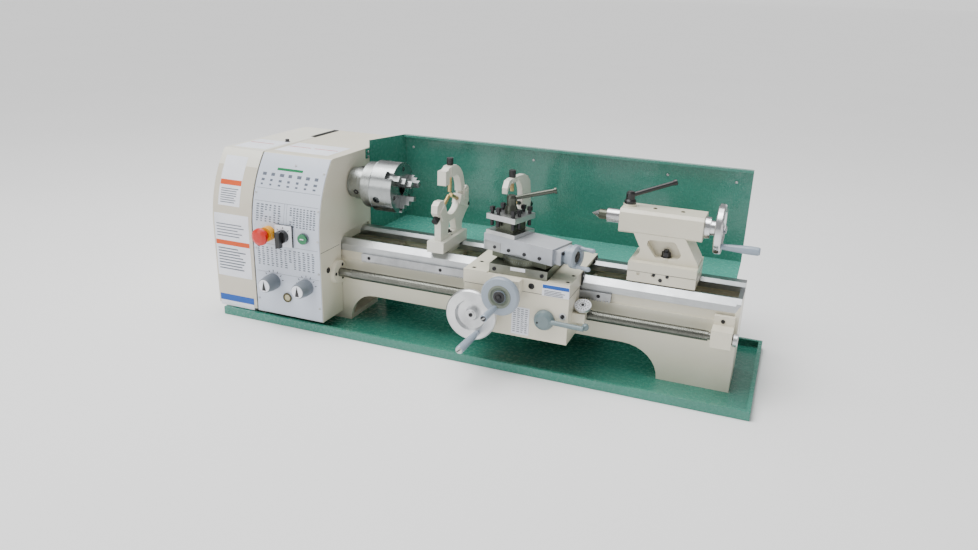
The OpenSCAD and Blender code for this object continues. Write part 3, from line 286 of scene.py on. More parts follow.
PRINT = 0.00003         # height of the grain of printed film, in metres
ON_AXIS = AXIS_Y, AXIS_Z
M = {
    # paint
    "tray": hammertone("hammered_green_tray", srgb(50, 125, 108), srgb(59, 134, 117), srgb(46, 119, 102)),
    "splash": hammertone("hammered_green_splash", srgb(54, 127, 111), srgb(71, 147, 131), srgb(47, 117, 101)),
    # the shelf: a lighter copy of the splash green, as painted reflection of the light off its top
    "shelf": hammertone("hammered_green_shelf_painted_reflection", srgb(76, 152, 137), srgb(96, 172, 158), srgb(68, 142, 127)),
    "casting": enamel("cream_enamel", srgb(226, 221, 203), srgb(217, 210, 187)),
    "cover": enamel("cover_enamel", srgb(238, 236, 224), srgb(231, 228, 212), rough=(0.3, 0.42)),
    # the cover's front: a darker copy of the cover enamel, as painted shade
    "cover_front": enamel("cover_enamel_painted_front_shade", srgb(212, 206, 190), srgb(204, 196, 176), orange_peel=0.25),
    "rest": enamel("rest_enamel", srgb(230, 229, 218), srgb(221, 218, 202), edge=0.0015),
    "panel": enamel("panel_foil", srgb(208, 215, 228), srgb(202, 210, 224), orange_peel=0.12, coat=0.1),
    "wheel": moulded("grey_wheel", srgb(150, 162, 175), (0.26, 0.38), coat=0.3),
    "grip": moulded("grey_grip", srgb(150, 163, 178), (0.24, 0.34), coat=0.35),
    "lever_grey": moulded("lever_enamel", srgb(110, 128, 132), (0.26, 0.38), coat=0.3),
    "wheel_dark": moulded("dark_wheel_dish", srgb(112, 120, 106), (0.26, 0.38), coat=0.2),
    "motor": moulded("motor_paint", srgb(58, 62, 66), (0.4, 0.5)),
    # ground and milled metal
    "ways": ground_metal("ground_ways", (0.5, 0.52, 0.53, 1), "X", (0.22, 0.34), 0.14),
    "steel": ground_metal("ground_steel", (0.6, 0.61, 0.61, 1), "Y", (0.2, 0.36)),
    "steel_x": ground_metal("milled_steel", (0.44, 0.46, 0.49, 1), "X", (0.26, 0.38), 0.16),
    "slide_grey": ground_metal("slide_sides", (0.27, 0.28, 0.24, 1), "X", (0.3, 0.44), 0.16),
    # the top slide's top: milled grain along y, and a lighter colour that is painted top light
    "steel_top": ground_metal("milled_top_painted_light", (0.72, 0.74, 0.78, 1), "Y", (0.42, 0.52), 0.1, metallic=0.75),
    "steel_dark": ground_metal("gib_steel", (0.42, 0.43, 0.43, 1), "X", (0.26, 0.4)),
    "iron": ground_metal("oiled_iron", (0.12, 0.13, 0.1, 1), "X", (0.28, 0.46), 0.3),
    "rack": ground_metal("rack_steel", (0.5, 0.51, 0.52, 1), "Z", (0.25, 0.4)),
    "screw": ground_metal("black_oxide", (0.055, 0.055, 0.058, 1), "Y", (0.3, 0.45), 0.3, metallic=0.85),
    "jaw": ground_metal("jaw_steel", (0.4, 0.42, 0.42, 1), "X", (0.2, 0.36)),
    # turned metal
    "chuck": turned_metal("chuck_steel", (0.36, 0.38, 0.38, 1), "X", (-263, *ON_AXIS), (0.16, 0.26),
                          dark=0.9),
    "spindle": turned_metal("spindle_steel", (0.34, 0.36, 0.35, 1), "X", (-300, *ON_AXIS)),
    "quill": turned_metal("quill_steel", (0.62, 0.62, 0.63, 1), "X", (322, *ON_AXIS), (0.12, 0.24)),
    "center": turned_metal("center_steel", (0.62, 0.62, 0.62, 1), "X", (280, *ON_AXIS), (0.18, 0.3)),
    "chrome": turned_metal("polished_chrome", (0.75, 0.76, 0.77, 1), "X", (524, *ON_AXIS), (0.08, 0.18),
                           dark=0.92),
    "alu_x": turned_metal("turned_aluminium_x", (0.74, 0.75, 0.76, 1), "X", (-590, *ON_AXIS), (0.24, 0.4)),
    "leadscrew": turned_metal("leadscrew_steel", (0.2, 0.205, 0.18, 1), "X", (0, SCREW_Y, SCREW_Z),
                              (0.2, 0.34)),
    "alu": turned_metal("turned_aluminium", (0.74, 0.75, 0.76, 1), "Y", (45, -210, 134), (0.24, 0.4)),
    "dial": turned_metal("satin_dial", (0.7, 0.71, 0.73, 1), "Y", (275, -140, 165), (0.3, 0.42)),
    "brass": turned_metal("turned_brass", (0.72, 0.53, 0.25, 1), "Z", (0, 0, 0), (0.2, 0.34)),
    "brass_dark": turned_metal("dark_brass", (0.1, 0.09, 0.05, 1), "Y", (SIGHT_X, 0, SIGHT_Z), (0.3, 0.42),
                               metallic=0.7),
    "lever": turned_metal("oiled_lever", (0.11, 0.12, 0.1, 1), "Z", (90, -105, 350), (0.24, 0.36)),
    # plastic, rubber and felt
    "belt": moulded("belt_rubber", srgb(26, 26, 27), (0.65, 0.8), grain=500, height=0.0003),
    "wiper": moulded("wiper_felt", srgb(38, 38, 38), (0.7, 0.9), grain=300, height=0.0005),
    "black": moulded("black_plastic", srgb(24, 24, 25), (0.28, 0.42), coat=0.15),
    # near black for the dark joints between castings, and for slots drawn as flat patches: painted shade
    # inside them
    "hole": moulded("dark_joint_and_painted_hole_shade", srgb(18, 18, 18), (0.6, 0.8)),
    "red": moulded("red_plastic", srgb(206, 30, 12), (0.3, 0.4), coat=0.2),
    "green": moulded("green_plastic", srgb(0, 122, 72), (0.2, 0.3), coat=0.4),
    "yellow": moulded("yellow_plastic", srgb(240, 170, 10), (0.3, 0.4), coat=0.2),
    "grey": moulded("grey_plastic", srgb(112, 120, 128), (0.32, 0.44), coat=0.1),
    "sight": moulded("sight_window", srgb(190, 182, 140), (0.06, 0.14), coat=0.9),
    # print
    "white": moulded("white_print", srgb(244, 247, 255), (0.4, 0.5), height=PRINT),
    "ink": moulded("dark_print", srgb(60, 66, 74), (0.45, 0.55), height=PRINT),
    "ink_pale": moulded("pale_print", srgb(96, 104, 118), (0.45, 0.55), height=PRINT),
    "rule": moulded("panel_rule_grey", srgb(150, 158, 168), (0.4, 0.5), height=PRINT),
    "blue": moulded("blue_print", srgb(8, 84, 176), (0.4, 0.5), height=PRINT),
    "orange": moulded("orange_print", srgb(224, 84, 14), (0.4, 0.5), height=PRINT),
}

# the CAD nodes that wear each material
LOOK = {
    "tray": ("chip_tray",),
    "splash": ("backsplash",),
    "casting": ("bed", "headstock", "gearbox_housing", "leadscrew_flange", "leadscrew_bracket", "saddle",
                "apron", "thread_dial_body", "tailstock_base", "tailstock_body"),
    "cover": ("end_cover",),
    "panel": ("control_panel",),
    "rest": ("steady_rest_base", "steady_rest_arm", "follow_rest"),
    "rack": ("rack",),
    "screw": ("cap_screws", "tool_post_screws"),
    "motor": ("motor",),
    "belt": ("drive_belt",),
    "alu": ("carriage_handwheel",),
    "alu_x": ("motor_pulley", "spindle_pulley"),
    "spindle": ("spindle", "chuck_backplate"),
    "chuck": ("chuck_body",),
    "jaw": ("chuck_jaw_1", "chuck_jaw_2", "chuck_jaw_3"),
    "iron": ("idler_gear", "leadscrew_gear", "swivel_base", "tool_post"),
    "leadscrew": ("leadscrew",),
    "grip": ("carriage_handle", "cross_handle", "tailstock_handle"),
    "wheel": ("cross_handwheel", "top_slide_handwheel"),
    "lever_grey": ("half_nut_lever",),
    "lever": ("tool_post_lever",),
    "brass": ("half_nut", "steady_rest_fingers", "steady_rest_top_finger", "follow_rest_fingers"),
    "dial": ("thread_dial",),
    "slide_grey": ("cross_slide",),
    "steel_x": ("top_slide",),
    "quill": ("tailstock_quill",),
    "center": ("dead_center",),
    "chrome": ("tailstock_handwheel",),
    "black": ("quill_lock_lever", "direction_switch"),
    "red": ("emergency_stop",),
    "green": ("start_button",),
    "grey": ("gear_knob_left", "gear_knob_right"),
    "sight": ("sight_glass",),
}


def dress(node, look, *more):
    """Puts a material on a CAD node; more is (material, test(centre_mm, normal)) for single faces."""
    me = nodes[node].data
    me.materials.clear()
    me.materials.append(M[look])
    for m, _ in more:
        me.materials.append(M[m])
    for p in me.polygons:
        p.material_index = 0
        c = p.center * 1000
        for k, (_, test) in enumerate(more):
            if test(c, p.normal):
                p.material_index = k + 1


def on_ways(c, n):
    """The ground faces of the bed's two ways, clear of the headstock and of the web between them."""
    web = c.z < 200 and -70 < c.y < 28
    return c.z > 186.5 and c.x > -361 and (n.z > 0.2 or abs(n.y) > 0.3) and not web


def collar(x, r):
    """The collar round a push button, which stands proud of the panel."""
    return lambda c, n: math.hypot(c.x - x, c.z - CONTROL_Z) < r and c.y < FRONT - 0.3


def switch_plate(c):
    return abs(c.x - SWITCH_X) < 24.5 and abs(c.z - CONTROL_Z) < 28 and c.y < FRONT - 0.3


def beyond(r):
    """Further than r from the spindle's axis."""
    return lambda c, n: math.hypot(c.y - AXIS_Y, c.z - AXIS_Z) > r


def clamp_nut(c, n):
    """The nut in the tailstock's front window."""
    return math.hypot(c.x - 430, c.y + 47) < 12.3 and 275.9 < c.z < 294 and c.y < -37.3


for look, names in LOOK.items():
    for name in names:
        dress(name, look)

dress("bed", "casting", ("ways", on_ways))
# the shelf's upward faces wear the lighter green: painted reflection of the light
dress("backsplash", "splash", ("shelf", lambda c, n: n.z > 0.7 and 190 < c.z < 216 and c.x > -325))
dress("tailstock_body", "casting", ("screw", clamp_nut))
# the cover's front faces, turned away from the top light, wear the darker copy: painted shade
dress("end_cover", "cover", ("cover_front", lambda c, n: n.y < -0.3 and n.z < 0.5))
# the top slide's upward faces wear the lighter steel: painted top light
dress("top_slide", "steel_x", ("steel_top", lambda c, n: n.z > 0.8))
dress("cross_slide", "slide_grey", ("iron", lambda c, n: n.z > 0.8 and c.z > 236))
dress("tool_post", "iron", ("steel", lambda c, n: c.z > 333 or c.z < 312))
dress("control_panel", "panel",
      ("yellow", collar(STOP_X, 19)),
      ("black", lambda c, n: switch_plate(c) and n.y > -0.5),
      ("white", lambda c, n: switch_plate(c) and n.y < -0.5),
      ("grey", collar(START_X, 17)))
dress("steady_rest_fingers", "brass", ("screw", beyond(66)))
dress("steady_rest_top_finger", "brass", ("screw", beyond(66)))
dress("follow_rest_fingers", "brass", ("screw", beyond(46)))
dress("dead_center", "center", ("iron", lambda c, n: 269.5 < c.x < 291))

# ---------------------------------------------------------------- camera, floor and light

scene = bpy.context.scene

cam_data = bpy.data.cameras.new("camera")
cam_data.sensor_width = 36
cam_data.lens = 29.19
cam_data.clip_start = 0.05
cam = bpy.data.objects.new("camera", cam_data)
scene.collection.objects.link(cam)
yaw, pitch, roll = math.radians(20.9), math.radians(-19.9), math.radians(1.9)
forward = Vector((-math.sin(yaw) * math.cos(pitch), math.cos(yaw) * math.cos(pitch), math.sin(pitch)))
level_right = forward.cross(Vector((0, 0, 1))).normalized()
level_up = level_right.cross(forward)
right = level_right * math.cos(roll) + level_up * math.sin(roll)
up = level_up * math.cos(roll) - level_right * math.sin(roll)
turn = Matrix((right, up, -forward)).transposed().to_4x4()
cam.matrix_world = Matrix.Translation(Vector((656.8, -1715.9, 814.1)) / 1000) @ turn
scene.camera = cam

# a flat floor whose far rim rises, so that no horizon shows
FLOOR_SIDES = 64
FLOOR_RINGS = (110, 0), (150, 12), (190, 40)        # radius and height
floor_mesh = bpy.data.meshes.new("floor")
fb = bmesh.new()
rim = [[fb.verts.new((r * math.cos(a), r * math.sin(a), z))
        for a in (2 * math.pi * k / FLOOR_SIDES for k in range(FLOOR_SIDES))] for r, z in FLOOR_RINGS]
fb.faces.new(rim[0])
for low, high in zip(rim, rim[1:]):
    for k in range(FLOOR_SIDES):
        fb.faces.new((low[k - 1], low[k], high[k], high[k - 1]))
fb.to_mesh(floor_mesh)
fb.free()
floor = bpy.data.objects.new("floor", floor_mesh)
floor.location = (0, 0, -0.0005)
scene.collection.objects.link(floor)
fm = Nodes("pale_floor")
fm.finish(fm.ramp(fm.noise(1.2, 2), [(0.3, (0.93, 0.93, 0.93, 1)), (0.7, (0.95, 0.95, 0.95, 1))]), 0.75)
floor_mesh.materials.append(fm.mat)

world = bpy.data.worlds.new("studio")
world.use_nodes = True
world.node_tree.nodes["Background"].inputs["Color"].default_value = (1, 1, 1, 1)
world.node_tree.nodes["Background"].inputs["Strength"].default_value = 0.4
scene.world = world


def light(name, kind, direction, energy):
    d = bpy.data.lights.new(name, kind)
    d.energy = energy
    o = bpy.data.objects.new(name, d)
    o.rotation_euler = Vector(direction).to_track_quat("-Z", "Y").to_euler()
    scene.collection.objects.link(o)
    return o


def softbox(name, at, size, watts):
    """A square area light that points at the machine."""
    o = light(name, "AREA", Vector((0, 0, 0.2)) - Vector(at), watts)
    o.location = at
    o.data.shape = "RECTANGLE"
    o.data.size = o.data.size_y = size


softbox("top_box", (-0.5, 0.2, 2.4), size=2.2, watts=50)
softbox("front_box", (-1.6, -2.6, 1.3), size=1.4, watts=18)
sky = light("high_soft_light", "SUN", (0.4, 0.25, -1), 2.6)
sky.data.angle = math.radians(45)

# ---------------------------------------------------------------- how detail pieces are built

class Piece:
    """A piece built from small solids, which rides on a body once done() is called."""

    def __init__(self, name, frame=None):
        self.name = name
        self.bm = bmesh.new()
        self.frame = frame or Matrix.Identity(4)

    def take(self, part, at=None):
        """Adds a solid, in the piece's own frame and placed by at."""
        part.transform(Matrix.Scale(MM, 4) @ self.frame @ (at or Matrix.Identity(4)))
        tmp = bpy.data.meshes.new("tmp")
        bmesh.ops.recalc_face_normals(part, faces=part.faces)
        part.to_mesh(tmp)
        part.free()
        self.bm.from_mesh(tmp)
        bpy.data.meshes.remove(tmp)
        return self

    def block(self, lo, hi, r=0.4, seg=2, at=None):
        """A box between two corners, with its edges rounded by r."""
        b = bmesh.new()
        bmesh.ops.create_cube(b, size=1)
        lo, hi = Vector(lo), Vector(hi)
        for v in b.verts:
            v.co = Vector((lo[i] + (v.co[i] + 0.5) * (hi[i] - lo[i]) for i in range(3)))
        if r:
            bmesh.ops.bevel(b, geom=b.edges[:], offset=r, segments=seg, affect="EDGES", profile=0.5)
        return self.take(b, at)

    def turn(self, place, axis, profile, n=32):
        """Turns (radius, distance along axis) points round an axis that starts at place, in n steps."""
        b = bmesh.new()
        axis = Vector(axis).normalized()
        u = axis.orthogonal().normalized()
        w = axis.cross(u)
        rings = []
        for r, h in profile:
            c = Vector(place) + axis * h
            if r < 1e-6:
                rings.append([b.verts.new(c)])
            else:
                rings.append([b.verts.new(c + (u * math.cos(a) + w * math.sin(a)) * r)
                              for a in (2 * math.pi * k / n for k in range(n))])
        for p, q in zip(rings, rings[1:]):
            for k in range(n):
                a, c = p[k % len(p)], p[(k + 1) % len(p)]
                d, e = q[k % len(q)], q[(k + 1) % len(q)]
                if len(p) == 1:
                    b.faces.new((a, e, d))
                elif len(q) == 1:
                    b.faces.new((a, c, d))
                else:
                    b.faces.new((a, c, e, d))
        return self.take(b)

    def plate(self, corners, thick, along):
        """A flat outline pushed along a direction by thick."""
        b = bmesh.new()
        lower = [b.verts.new(Vector(c)) for c in corners]
        upper = [b.verts.new(Vector(c) + Vector(along).normalized() * thick) for c in corners]
        b.faces.new(lower[::-1])
        b.faces.new(upper)
        for k in range(len(corners)):
            m = (k + 1) % len(corners)
            b.faces.new((lower[k], lower[m], upper[m], upper[k]))
        return self.take(b)

    def curved(self, x0, x1, z0, z1, lift=0.3, thick=0.6, steps=10):
        """A thin patch that lies on the bowed front of the headstock and stands proud of it by lift."""
        b = bmesh.new()
        rows = []
        section = (x0, lift - thick), (x0, lift), (x1, lift), (x1, lift - thick)
        for k in range(steps + 1):
            z = z0 + (z1 - z0) * k / steps
            rows.append([b.verts.new((x, front_y(z) - d, z)) for x, d in section])
        for p, q in zip(rows, rows[1:]):
            for k in range(4):
                b.faces.new((p[k], p[(k + 1) % 4], q[(k + 1) % 4], q[k]))
        b.faces.new(rows[0])
        b.faces.new(rows[-1][::-1])
        return self.take(b)

    def cap_screw(self, place, axis, r, h):
        """A socket screw: rounded head with a hexagonal socket cut into it."""
        self.turn(place, axis, [(0, -0.5), (r * 0.94, -0.5), (r, 0.3), (r, h * 0.82), (r * 0.9, h),
                                (r * 0.56, h), (r * 0.52, h * 0.9)], 28)
        return self.turn(place, axis, [(r * 0.52, h * 0.93), (r * 0.5, h * 0.3), (0, h * 0.3)], 6)

    def done(self, look, body, slot, smooth=35):
        """Makes the object; edges sharper than smooth degrees stay sharp."""
        me = bpy.data.meshes.new(self.name)
        self.bm.to_mesh(me)
        self.bm.free()
        me.materials.append(M[look])
        me.shade_smooth()
        me.set_sharp_from_angle(angle=math.radians(smooth))
        o = bpy.data.objects.new(self.name, me)
        scene.collection.objects.link(o)
        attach(o, body)


def moved(*v):
    return Matrix.Translation(v)


def turned(angle, axis):
    return Matrix.Rotation(angle, 4, axis)


random.seed(7)

# ---------------------------------------------------------------- control panel

rules = Piece("panel_rules")
for z in (342, 312, 208, 134):
    rules.curved(-548, -368, z - 0.5, z + 0.5, 0.15, 0.5, 2)
for x in (-462, -455):
    rules.curved(x - 0.4, x + 0.4, 256, 312, 0.15, 0.5, 8)
rules.done("rule", "base", "panel")

# blank tables, in which a short bar stands for each printed word
bars = Piece("panel_bars")
for z, width, half in ((374, 12, 3.4), (361, 9, 2.6), (351, 7, 2)):
    for k in range(7):
        w = width * random.uniform(0.8, 1.15)
        x = -538 + k * 24.5
        bars.curved(x, x + w, z - half, z + half, 0.12, 0.4, 2)


def bar_table(rows, columns, x0, z0, dx, dz, widths, skip):
    for row in range(rows):
        for k in range(columns):
            if not skip(row, k):
                x, z = x0 + k * dx, z0 - row * dz
                bars.curved(x, x + random.uniform(*widths), z - 1.4, z + 1.4, 0.12, 0.4, 1)


bar_table(9, 8, -446, 304, 9.4, 5.4, (4.2, 6.8), lambda row, k: row in (4, 5) and k == 0)
bar_table(8, 6, -542, 304, 12.5, 5.6, (4.5, 8.5), lambda row, k: row in (3, 4) and k in (2, 3))
bar_table(9, 13, -542, 198, 13, 5.6, (4.5, 7.5), lambda row, k: row > 5 and k == 7)
bars.done("ink_pale", "base", "panel")
Piece("panel_green_bar").curved(-500, -428, 384.5, 390, 0.14, 0.5, 2).done("green", "base", "green")

scales = Piece("knob_scales")
SCALE_R = 27
for kx in KNOB_X:
    for k in range(-3, 4):
        a = math.radians(90 + 26 * k)
        x, z = kx + SCALE_R * math.cos(a), KNOB_Z + SCALE_R * math.sin(a)
        scales.block((-0.9, -0.3, -2.6), (0.9, 0.3, 2.6), 0.1, 1,
                     moved(x, front_y(z) - 0.1, z) @ turned(math.radians(90) - a, "Y"))
scales.done("ink", "base", "panel")

screws = Piece("panel_screws")
for x, z in ((-452, 398), (-370, 388), (-368, 305), (-368, 232), (-368, 150), (-370, 60),
             (-547, 330), (-547, 192), (-547, 60)):
    slope = Vector((0, front_y(z) - BOW_Y, z - BOW_Z)).normalized()
    screws.turn((x, front_y(z), z), slope,
                [(0, -1), (2.9, -1), (2.9, 0.8), (2.2, 1.5), (0.9, 1.6), (0, 0.9)], 20)
screws.done("steel", "base", "steel")

Piece("switch_face").block(
    (SWITCH_X - 21.5, FRONT - 6.9, CONTROL_Z - 24.5), (SWITCH_X + 21.5, FRONT - 5.8, CONTROL_Z + 24.5), 0.5,
).done("white", "base", "panel")
marks = Piece("switch_marks")
for a in (45, 90, 135):
    x, z = SWITCH_X + 21 * math.cos(math.radians(a)), CONTROL_Z + 21 * math.sin(math.radians(a))
    marks.block((-0.7, -0.4, -2.2), (0.7, 0.4, 2.2), 0.1, 1,
                moved(x, FRONT - 7, z) @ turned(math.radians(90 - a), "Y"))
marks.done("ink", "base", "black")
Piece("start_button_mark").block(
    (START_X - 5, FRONT - 11.2, CONTROL_Z - 1.2), (START_X + 5, FRONT - 9.8, CONTROL_Z + 1.4), 0.4,
).done("white", "start", "green")
Piece("sight_glass_rim").turn(
    (SIGHT_X, front_y(SIGHT_Z) - 1.5, SIGHT_Z), NY,
    [(8.2, 0), (11.8, 0), (12.4, 1.4), (11.6, 3), (9.4, 3.2), (8.2, 2)], 40,
).done("brass_dark", "base", "sight")

RIBS, RIB_R = 18, 19.6
for body, kx in zip(("knob_left", "knob_right"), KNOB_X):
    Piece(body + "_face").turn(
        (kx, FRONT - 39.9, KNOB_Z), NY, [(0, 0), (15.4, 0), (15.7, 0.5), (15.2, 1.1), (0, 1.1)], 40,
    ).done("white", body, "grey")
    tip = FRONT - 40.7
    Piece(body + "_arrow").plate(
        [(kx - 5.5, tip, KNOB_Z - 11.5), (kx + 5.5, tip, KNOB_Z - 11.5), (kx, tip, KNOB_Z + 13)], 1.2, NY,
    ).done("black", body, "black")
    ribs = Piece(body + "_ribs")
    for k in range(RIBS):
        a = 2 * math.pi * k / RIBS
        ribs.turn((kx + RIB_R * math.cos(a), FRONT - 4, KNOB_Z + RIB_R * math.sin(a)), NY,
                  [(0, 0), (0.8, 0), (0.9, 1), (0.9, 15), (0.4, 17), (0, 17)], 8)
    ribs.done("grey", body, "grey")

# ---------------------------------------------------------------- end cover and headstock

# plain blank plates on the cover's front, with coloured bands and bars
labels = Piece("cover_plates")
labels.curved(-656, -592, 288, 404, 0.35, 0.8, 14)
labels.curved(-668, -565, 104, 268, 0.35, 0.8, 16)
labels.curved(-668, -565, 22, 36, 0.35, 0.8, 3)
labels.done("white", "cover", "panel")
bands = Piece("cover_bands_orange")
bands.curved(-655, -593, 338, 350, 0.6, 0.8, 4)
bands.curved(-667, -566, 187, 199, 0.6, 0.8, 4)
bands.done("orange", "cover", "panel")
Piece("cover_band_blue").curved(-668, -565, 36, 53, 0.5, 0.9, 4).done("blue", "cover", "panel")
lines = Piece("cover_plate_bars")
for rows, x, z, dz, high, widths in ((7, -650, 328, 5.4, 2, (40, 52)), (8, -662, 176, 7.6, 3, (60, 88)),
                                     (5, -662, 240, 7.6, 2.4, (60, 88))):
    for k in range(rows):
        lines.curved(x, x + random.uniform(*widths), z - k * dz, z + high - k * dz, 0.5, 0.5, 1)
lines.done("ink_pale", "cover", "panel")

# on top: the slot, a flat dark patch that is painted shade for its opening, the cover's screw, and more blank
# plates
Piece("cover_slot").block((-573, 112, TOP - 0.8), (-557.5, 233, TOP + 0.4), 0.4).done(
    "hole", "cover", "black")
Piece("cover_screw").turn(
    (-580, 16, TOP), UP,
    [(0, -1), (7, -1), (7, 0.6), (5.2, 1.4), (5.4, 6), (4.4, 7.2), (1.2, 7.2), (0, 6.2)], 32,
).done("black", "cover", "black")
Piece("cover_top_plate").block((-662, -96, TOP - 0.4), (-566, 12, TOP + 0.5), 0.3).done(
    "white", "cover", "panel")
Piece("head_top_plate").block((-545, -88, TOP - 0.4), (-392, 20, TOP + 0.5), 0.3).done(
    "white", "base", "panel")
red_rule = Piece("head_top_rules")
for x0, x1 in ((-540, -478), (-466, -400)):
    red_rule.block((x0, -32, TOP + 0.2), (x1, -29, TOP + 0.9), 0.2, 1)
red_rule.done("red", "base", "panel")
Piece("cover_top_rule").block((-658, -32, TOP + 0.2), (-588, -29, TOP + 0.9), 0.2, 1).done(
    "red", "cover", "panel")

# headstock side: the gearbox's oil plug, and the screws of the splash guard
Piece("gearbox_plug").turn(
    (SIDE, -152, 152), PX,
    [(0, -0.6), (7.2, -0.6), (7.6, 0.8), (6.8, 1.5), (4.8, 1.6), (4.6, 0.3), (0, 0.3)], 32,
).done("black", "base", "black")
screws = Piece("splash_screws")
for z in (398, 410):
    screws.cap_screw((SIDE + 2, 50, z), PX, 3.2, 2.6)
for x in (-300, 40, 380, 540):
    screws.turn((x, 190, 405), NY, [(0, -0.6), (3.6, -0.6), (3.6, 0.8), (2.4, 1.9), (0, 2.1)], 24)
screws.done("steel", "base", "splash")

# the dark joints between bolted castings
Piece("headstock_seam").block((-362.3, -181.4, 202.5), (-361.8, -98, 203.5), 0.1, 1).done(
    "hole", "base", "casting")
seam = Piece("apron_seam")
seam.block((13.5, -182.3, 194.5), (255.8, -181.8, 195.4), 0.1, 1)
seam.block((255.8, -181.9, 194.5), (256.3, -97, 195.4), 0.1, 1)
seam.done("hole", "carriage", "casting")
seam = Piece("tailstock_seam")
seam.block((354.3, -75.3, 242.6), (501.8, -74.8, 243.4), 0.1, 1)
seam.block((501.8, -74.8, 242.6), (502.3, 34.8, 243.4), 0.1, 1)
seam.done("hole", "tailstock", "casting")

# closes the corner between the splash guard's shelf and its folded end
Piece("shelf_flange").plate(
    [(-360.1, 60.3, 191.8), (-360.1, 60.3, 214.3), (-322.4, 189.4, 214.3), (-322.4, 189.4, 213)], 1.2,
    (-0.961, 0.277, 0),
).done("splash", "base", "splash")

# ---------------------------------------------------------------- chuck and leadscrew

nuts = Piece("chuck_nuts")
face_screws = Piece("chuck_face_screws")
for a in (81, 201, 321):
    out = Vector((0, math.cos(math.radians(a)), math.sin(math.radians(a))))
    nuts.turn(Vector((-334, AXIS_Y, AXIS_Z)) + out * 34, out,
              [(0, 0), (7.5, 0), (7.5, 6.5), (6.6, 7.6), (3.4, 7.6), (3.2, 5.5), (0, 5.5)], 6)
    face_screws.cap_screw(Vector((-226.3, AXIS_Y, AXIS_Z)) + out * 46, PX, 5.2, 0.9)
nuts.done("screw", "spindle", "screw")
face_screws.done("screw", "spindle", "screw")
Piece("chuck_ring").turn(
    (-286.2, AXIS_Y, AXIS_Z), PX, [(61.8, 0), (62.9, 0.6), (62.9, 2.2), (62.4, 3)], 96,
).done("chuck", "spindle", "steel")

# one strip wound round the leadscrew; its section is (distance along the screw, radius)
TURNS, STEPS, PITCH, THREAD_X = 214, 20, 4.0, -318
SECTION = (0.0, 10.85), (0.9, 11.75), (2.1, 11.75), (3.0, 10.85)
thread = bmesh.new()
strip = []
for k in range(TURNS * STEPS + 1):
    a = 2 * math.pi * k / STEPS
    x = THREAD_X + PITCH * k / STEPS
    strip.append([thread.verts.new((x + dx, SCREW_Y + r * math.cos(a), SCREW_Z + r * math.sin(a)))
                  for dx, r in SECTION])
for p, q in zip(strip, strip[1:]):
    for k in range(3):
        thread.faces.new((p[k], p[k + 1], q[k + 1], q[k]))
Piece("leadscrew_thread").take(thread).done("leadscrew", "leadscrew", "steel", smooth=30)
Piece("leadscrew_end_nut").turn(
    (595, SCREW_Y, SCREW_Z), PX,
    [(0, 0), (13, 0), (14, 1), (14, 9), (12.5, 10.5), (6, 10.5), (5.4, 8), (0, 8)], 40,
).done("alu_x", "leadscrew", "steel")

# ---------------------------------------------------------------- carriage

bolts = Piece("saddle_bolts")
for x in (29, 246):
    for y in (-165, -120):
        bolts.cap_screw((x, y, 220.4), UP, 4.7, 5.2)
bolts.done("screw", "carriage", "screw")
Piece("saddle_plug").turn(
    (170, APRON_Y, 210), NY, [(0, -1), (6.6, -1), (7, 0.6), (6.2, 1.6), (4.2, 1.7), (3.8, 0.2), (0, 0.2)], 32,
).done("black", "carriage", "black")

# blank plates: their bars stand just proud of them
PLATE, BAR = (APRON_Y - 1, APRON_Y + 0.5), (APRON_Y - 1.4, APRON_Y - 0.7)
Piece("saddle_plate").block((195, PLATE[0], 193.5), (256, PLATE[1], 220), 0.25, 1).done(
    "white", "carriage", "panel")
Piece("saddle_plate_band").block(
    (196, APRON_Y - 1.5, 211), (255, APRON_Y - 0.6, 219.2), 0.2, 1,
).done("blue", "carriage", "panel")
bars = Piece("saddle_plate_bars")
for k in range(4):
    bars.block((200, BAR[0], 205.4 - 3.4 * k),
               (200 + random.uniform(34, 50), BAR[1], 206.8 - 3.4 * k), 0.1, 1)
bars.done("ink_pale", "carriage", "panel")
Piece("apron_chart").block((128, PLATE[0], 92), (169, PLATE[1], 157), 0.25, 1).done(
    "white", "carriage", "panel")
bars = Piece("apron_chart_bars")
for row in range(12):
    for k in range(4):
        x, z = 131.5 + k * 9.3, 151.5 - row * 4.9
        bars.block((x, BAR[0], z), (x + random.uniform(4.5, 7), BAR[1], z + 1.7), 0.1, 1)
bars.done("ink_pale", "carriage", "panel")

Piece("apron_screw").turn(
    (244, APRON_Y, 152), NY,
    [(0, -1), (8.4, -1), (8.4, 0.7), (7.4, 1.4), (5.6, 1.4), (5.4, 0.5), (0, 0.5)], 32,
).done("alu", "carriage", "alu")
Piece("apron_screw_head").cap_screw((244, APRON_Y - 0.4, 152), NY, 4.6, 2.6).done(
    "screw", "carriage", "screw")
wipers = Piece("way_wipers")
for x0, x1 in ((256.2, 259.4), (6.6, 9.8)):
    wipers.block((x0, -91, 196), (x1, -66, 223), 0.8)
    wipers.block((x0, 14, 205), (x1, 50, 224), 0.8)
wipers.done("wiper", "carriage", "black")
screws = Piece("wiper_screws")
for y, z in ((-84, 216), (-74, 219.5), (22, 219), (42, 219)):
    screws.turn((259.2, y, z), PX, [(0, -0.5), (2.6, -0.5), (2.6, 0.6), (1.6, 1.4), (0, 1.5)], 20)
screws.done("steel", "carriage", "steel")

# ---------------------------------------------------------------- wheels, grips and levers

wx, wz = CARRIAGE_WHEEL
Piece("carriage_wheel_centre").turn(
    (wx, -218.5, wz), NY, [(0, -1), (9.4, -1), (9.4, 0.7), (8.4, 1.5), (5.2, 1.5), (5, 0.5), (0, 0.5)], 40,
).done("alu", "carriage_wheel", "alu")
Piece("carriage_wheel_screw").cap_screw((wx, -218.8, wz), NY, 4.4, 2.6).done(
    "screw", "carriage_wheel", "screw")

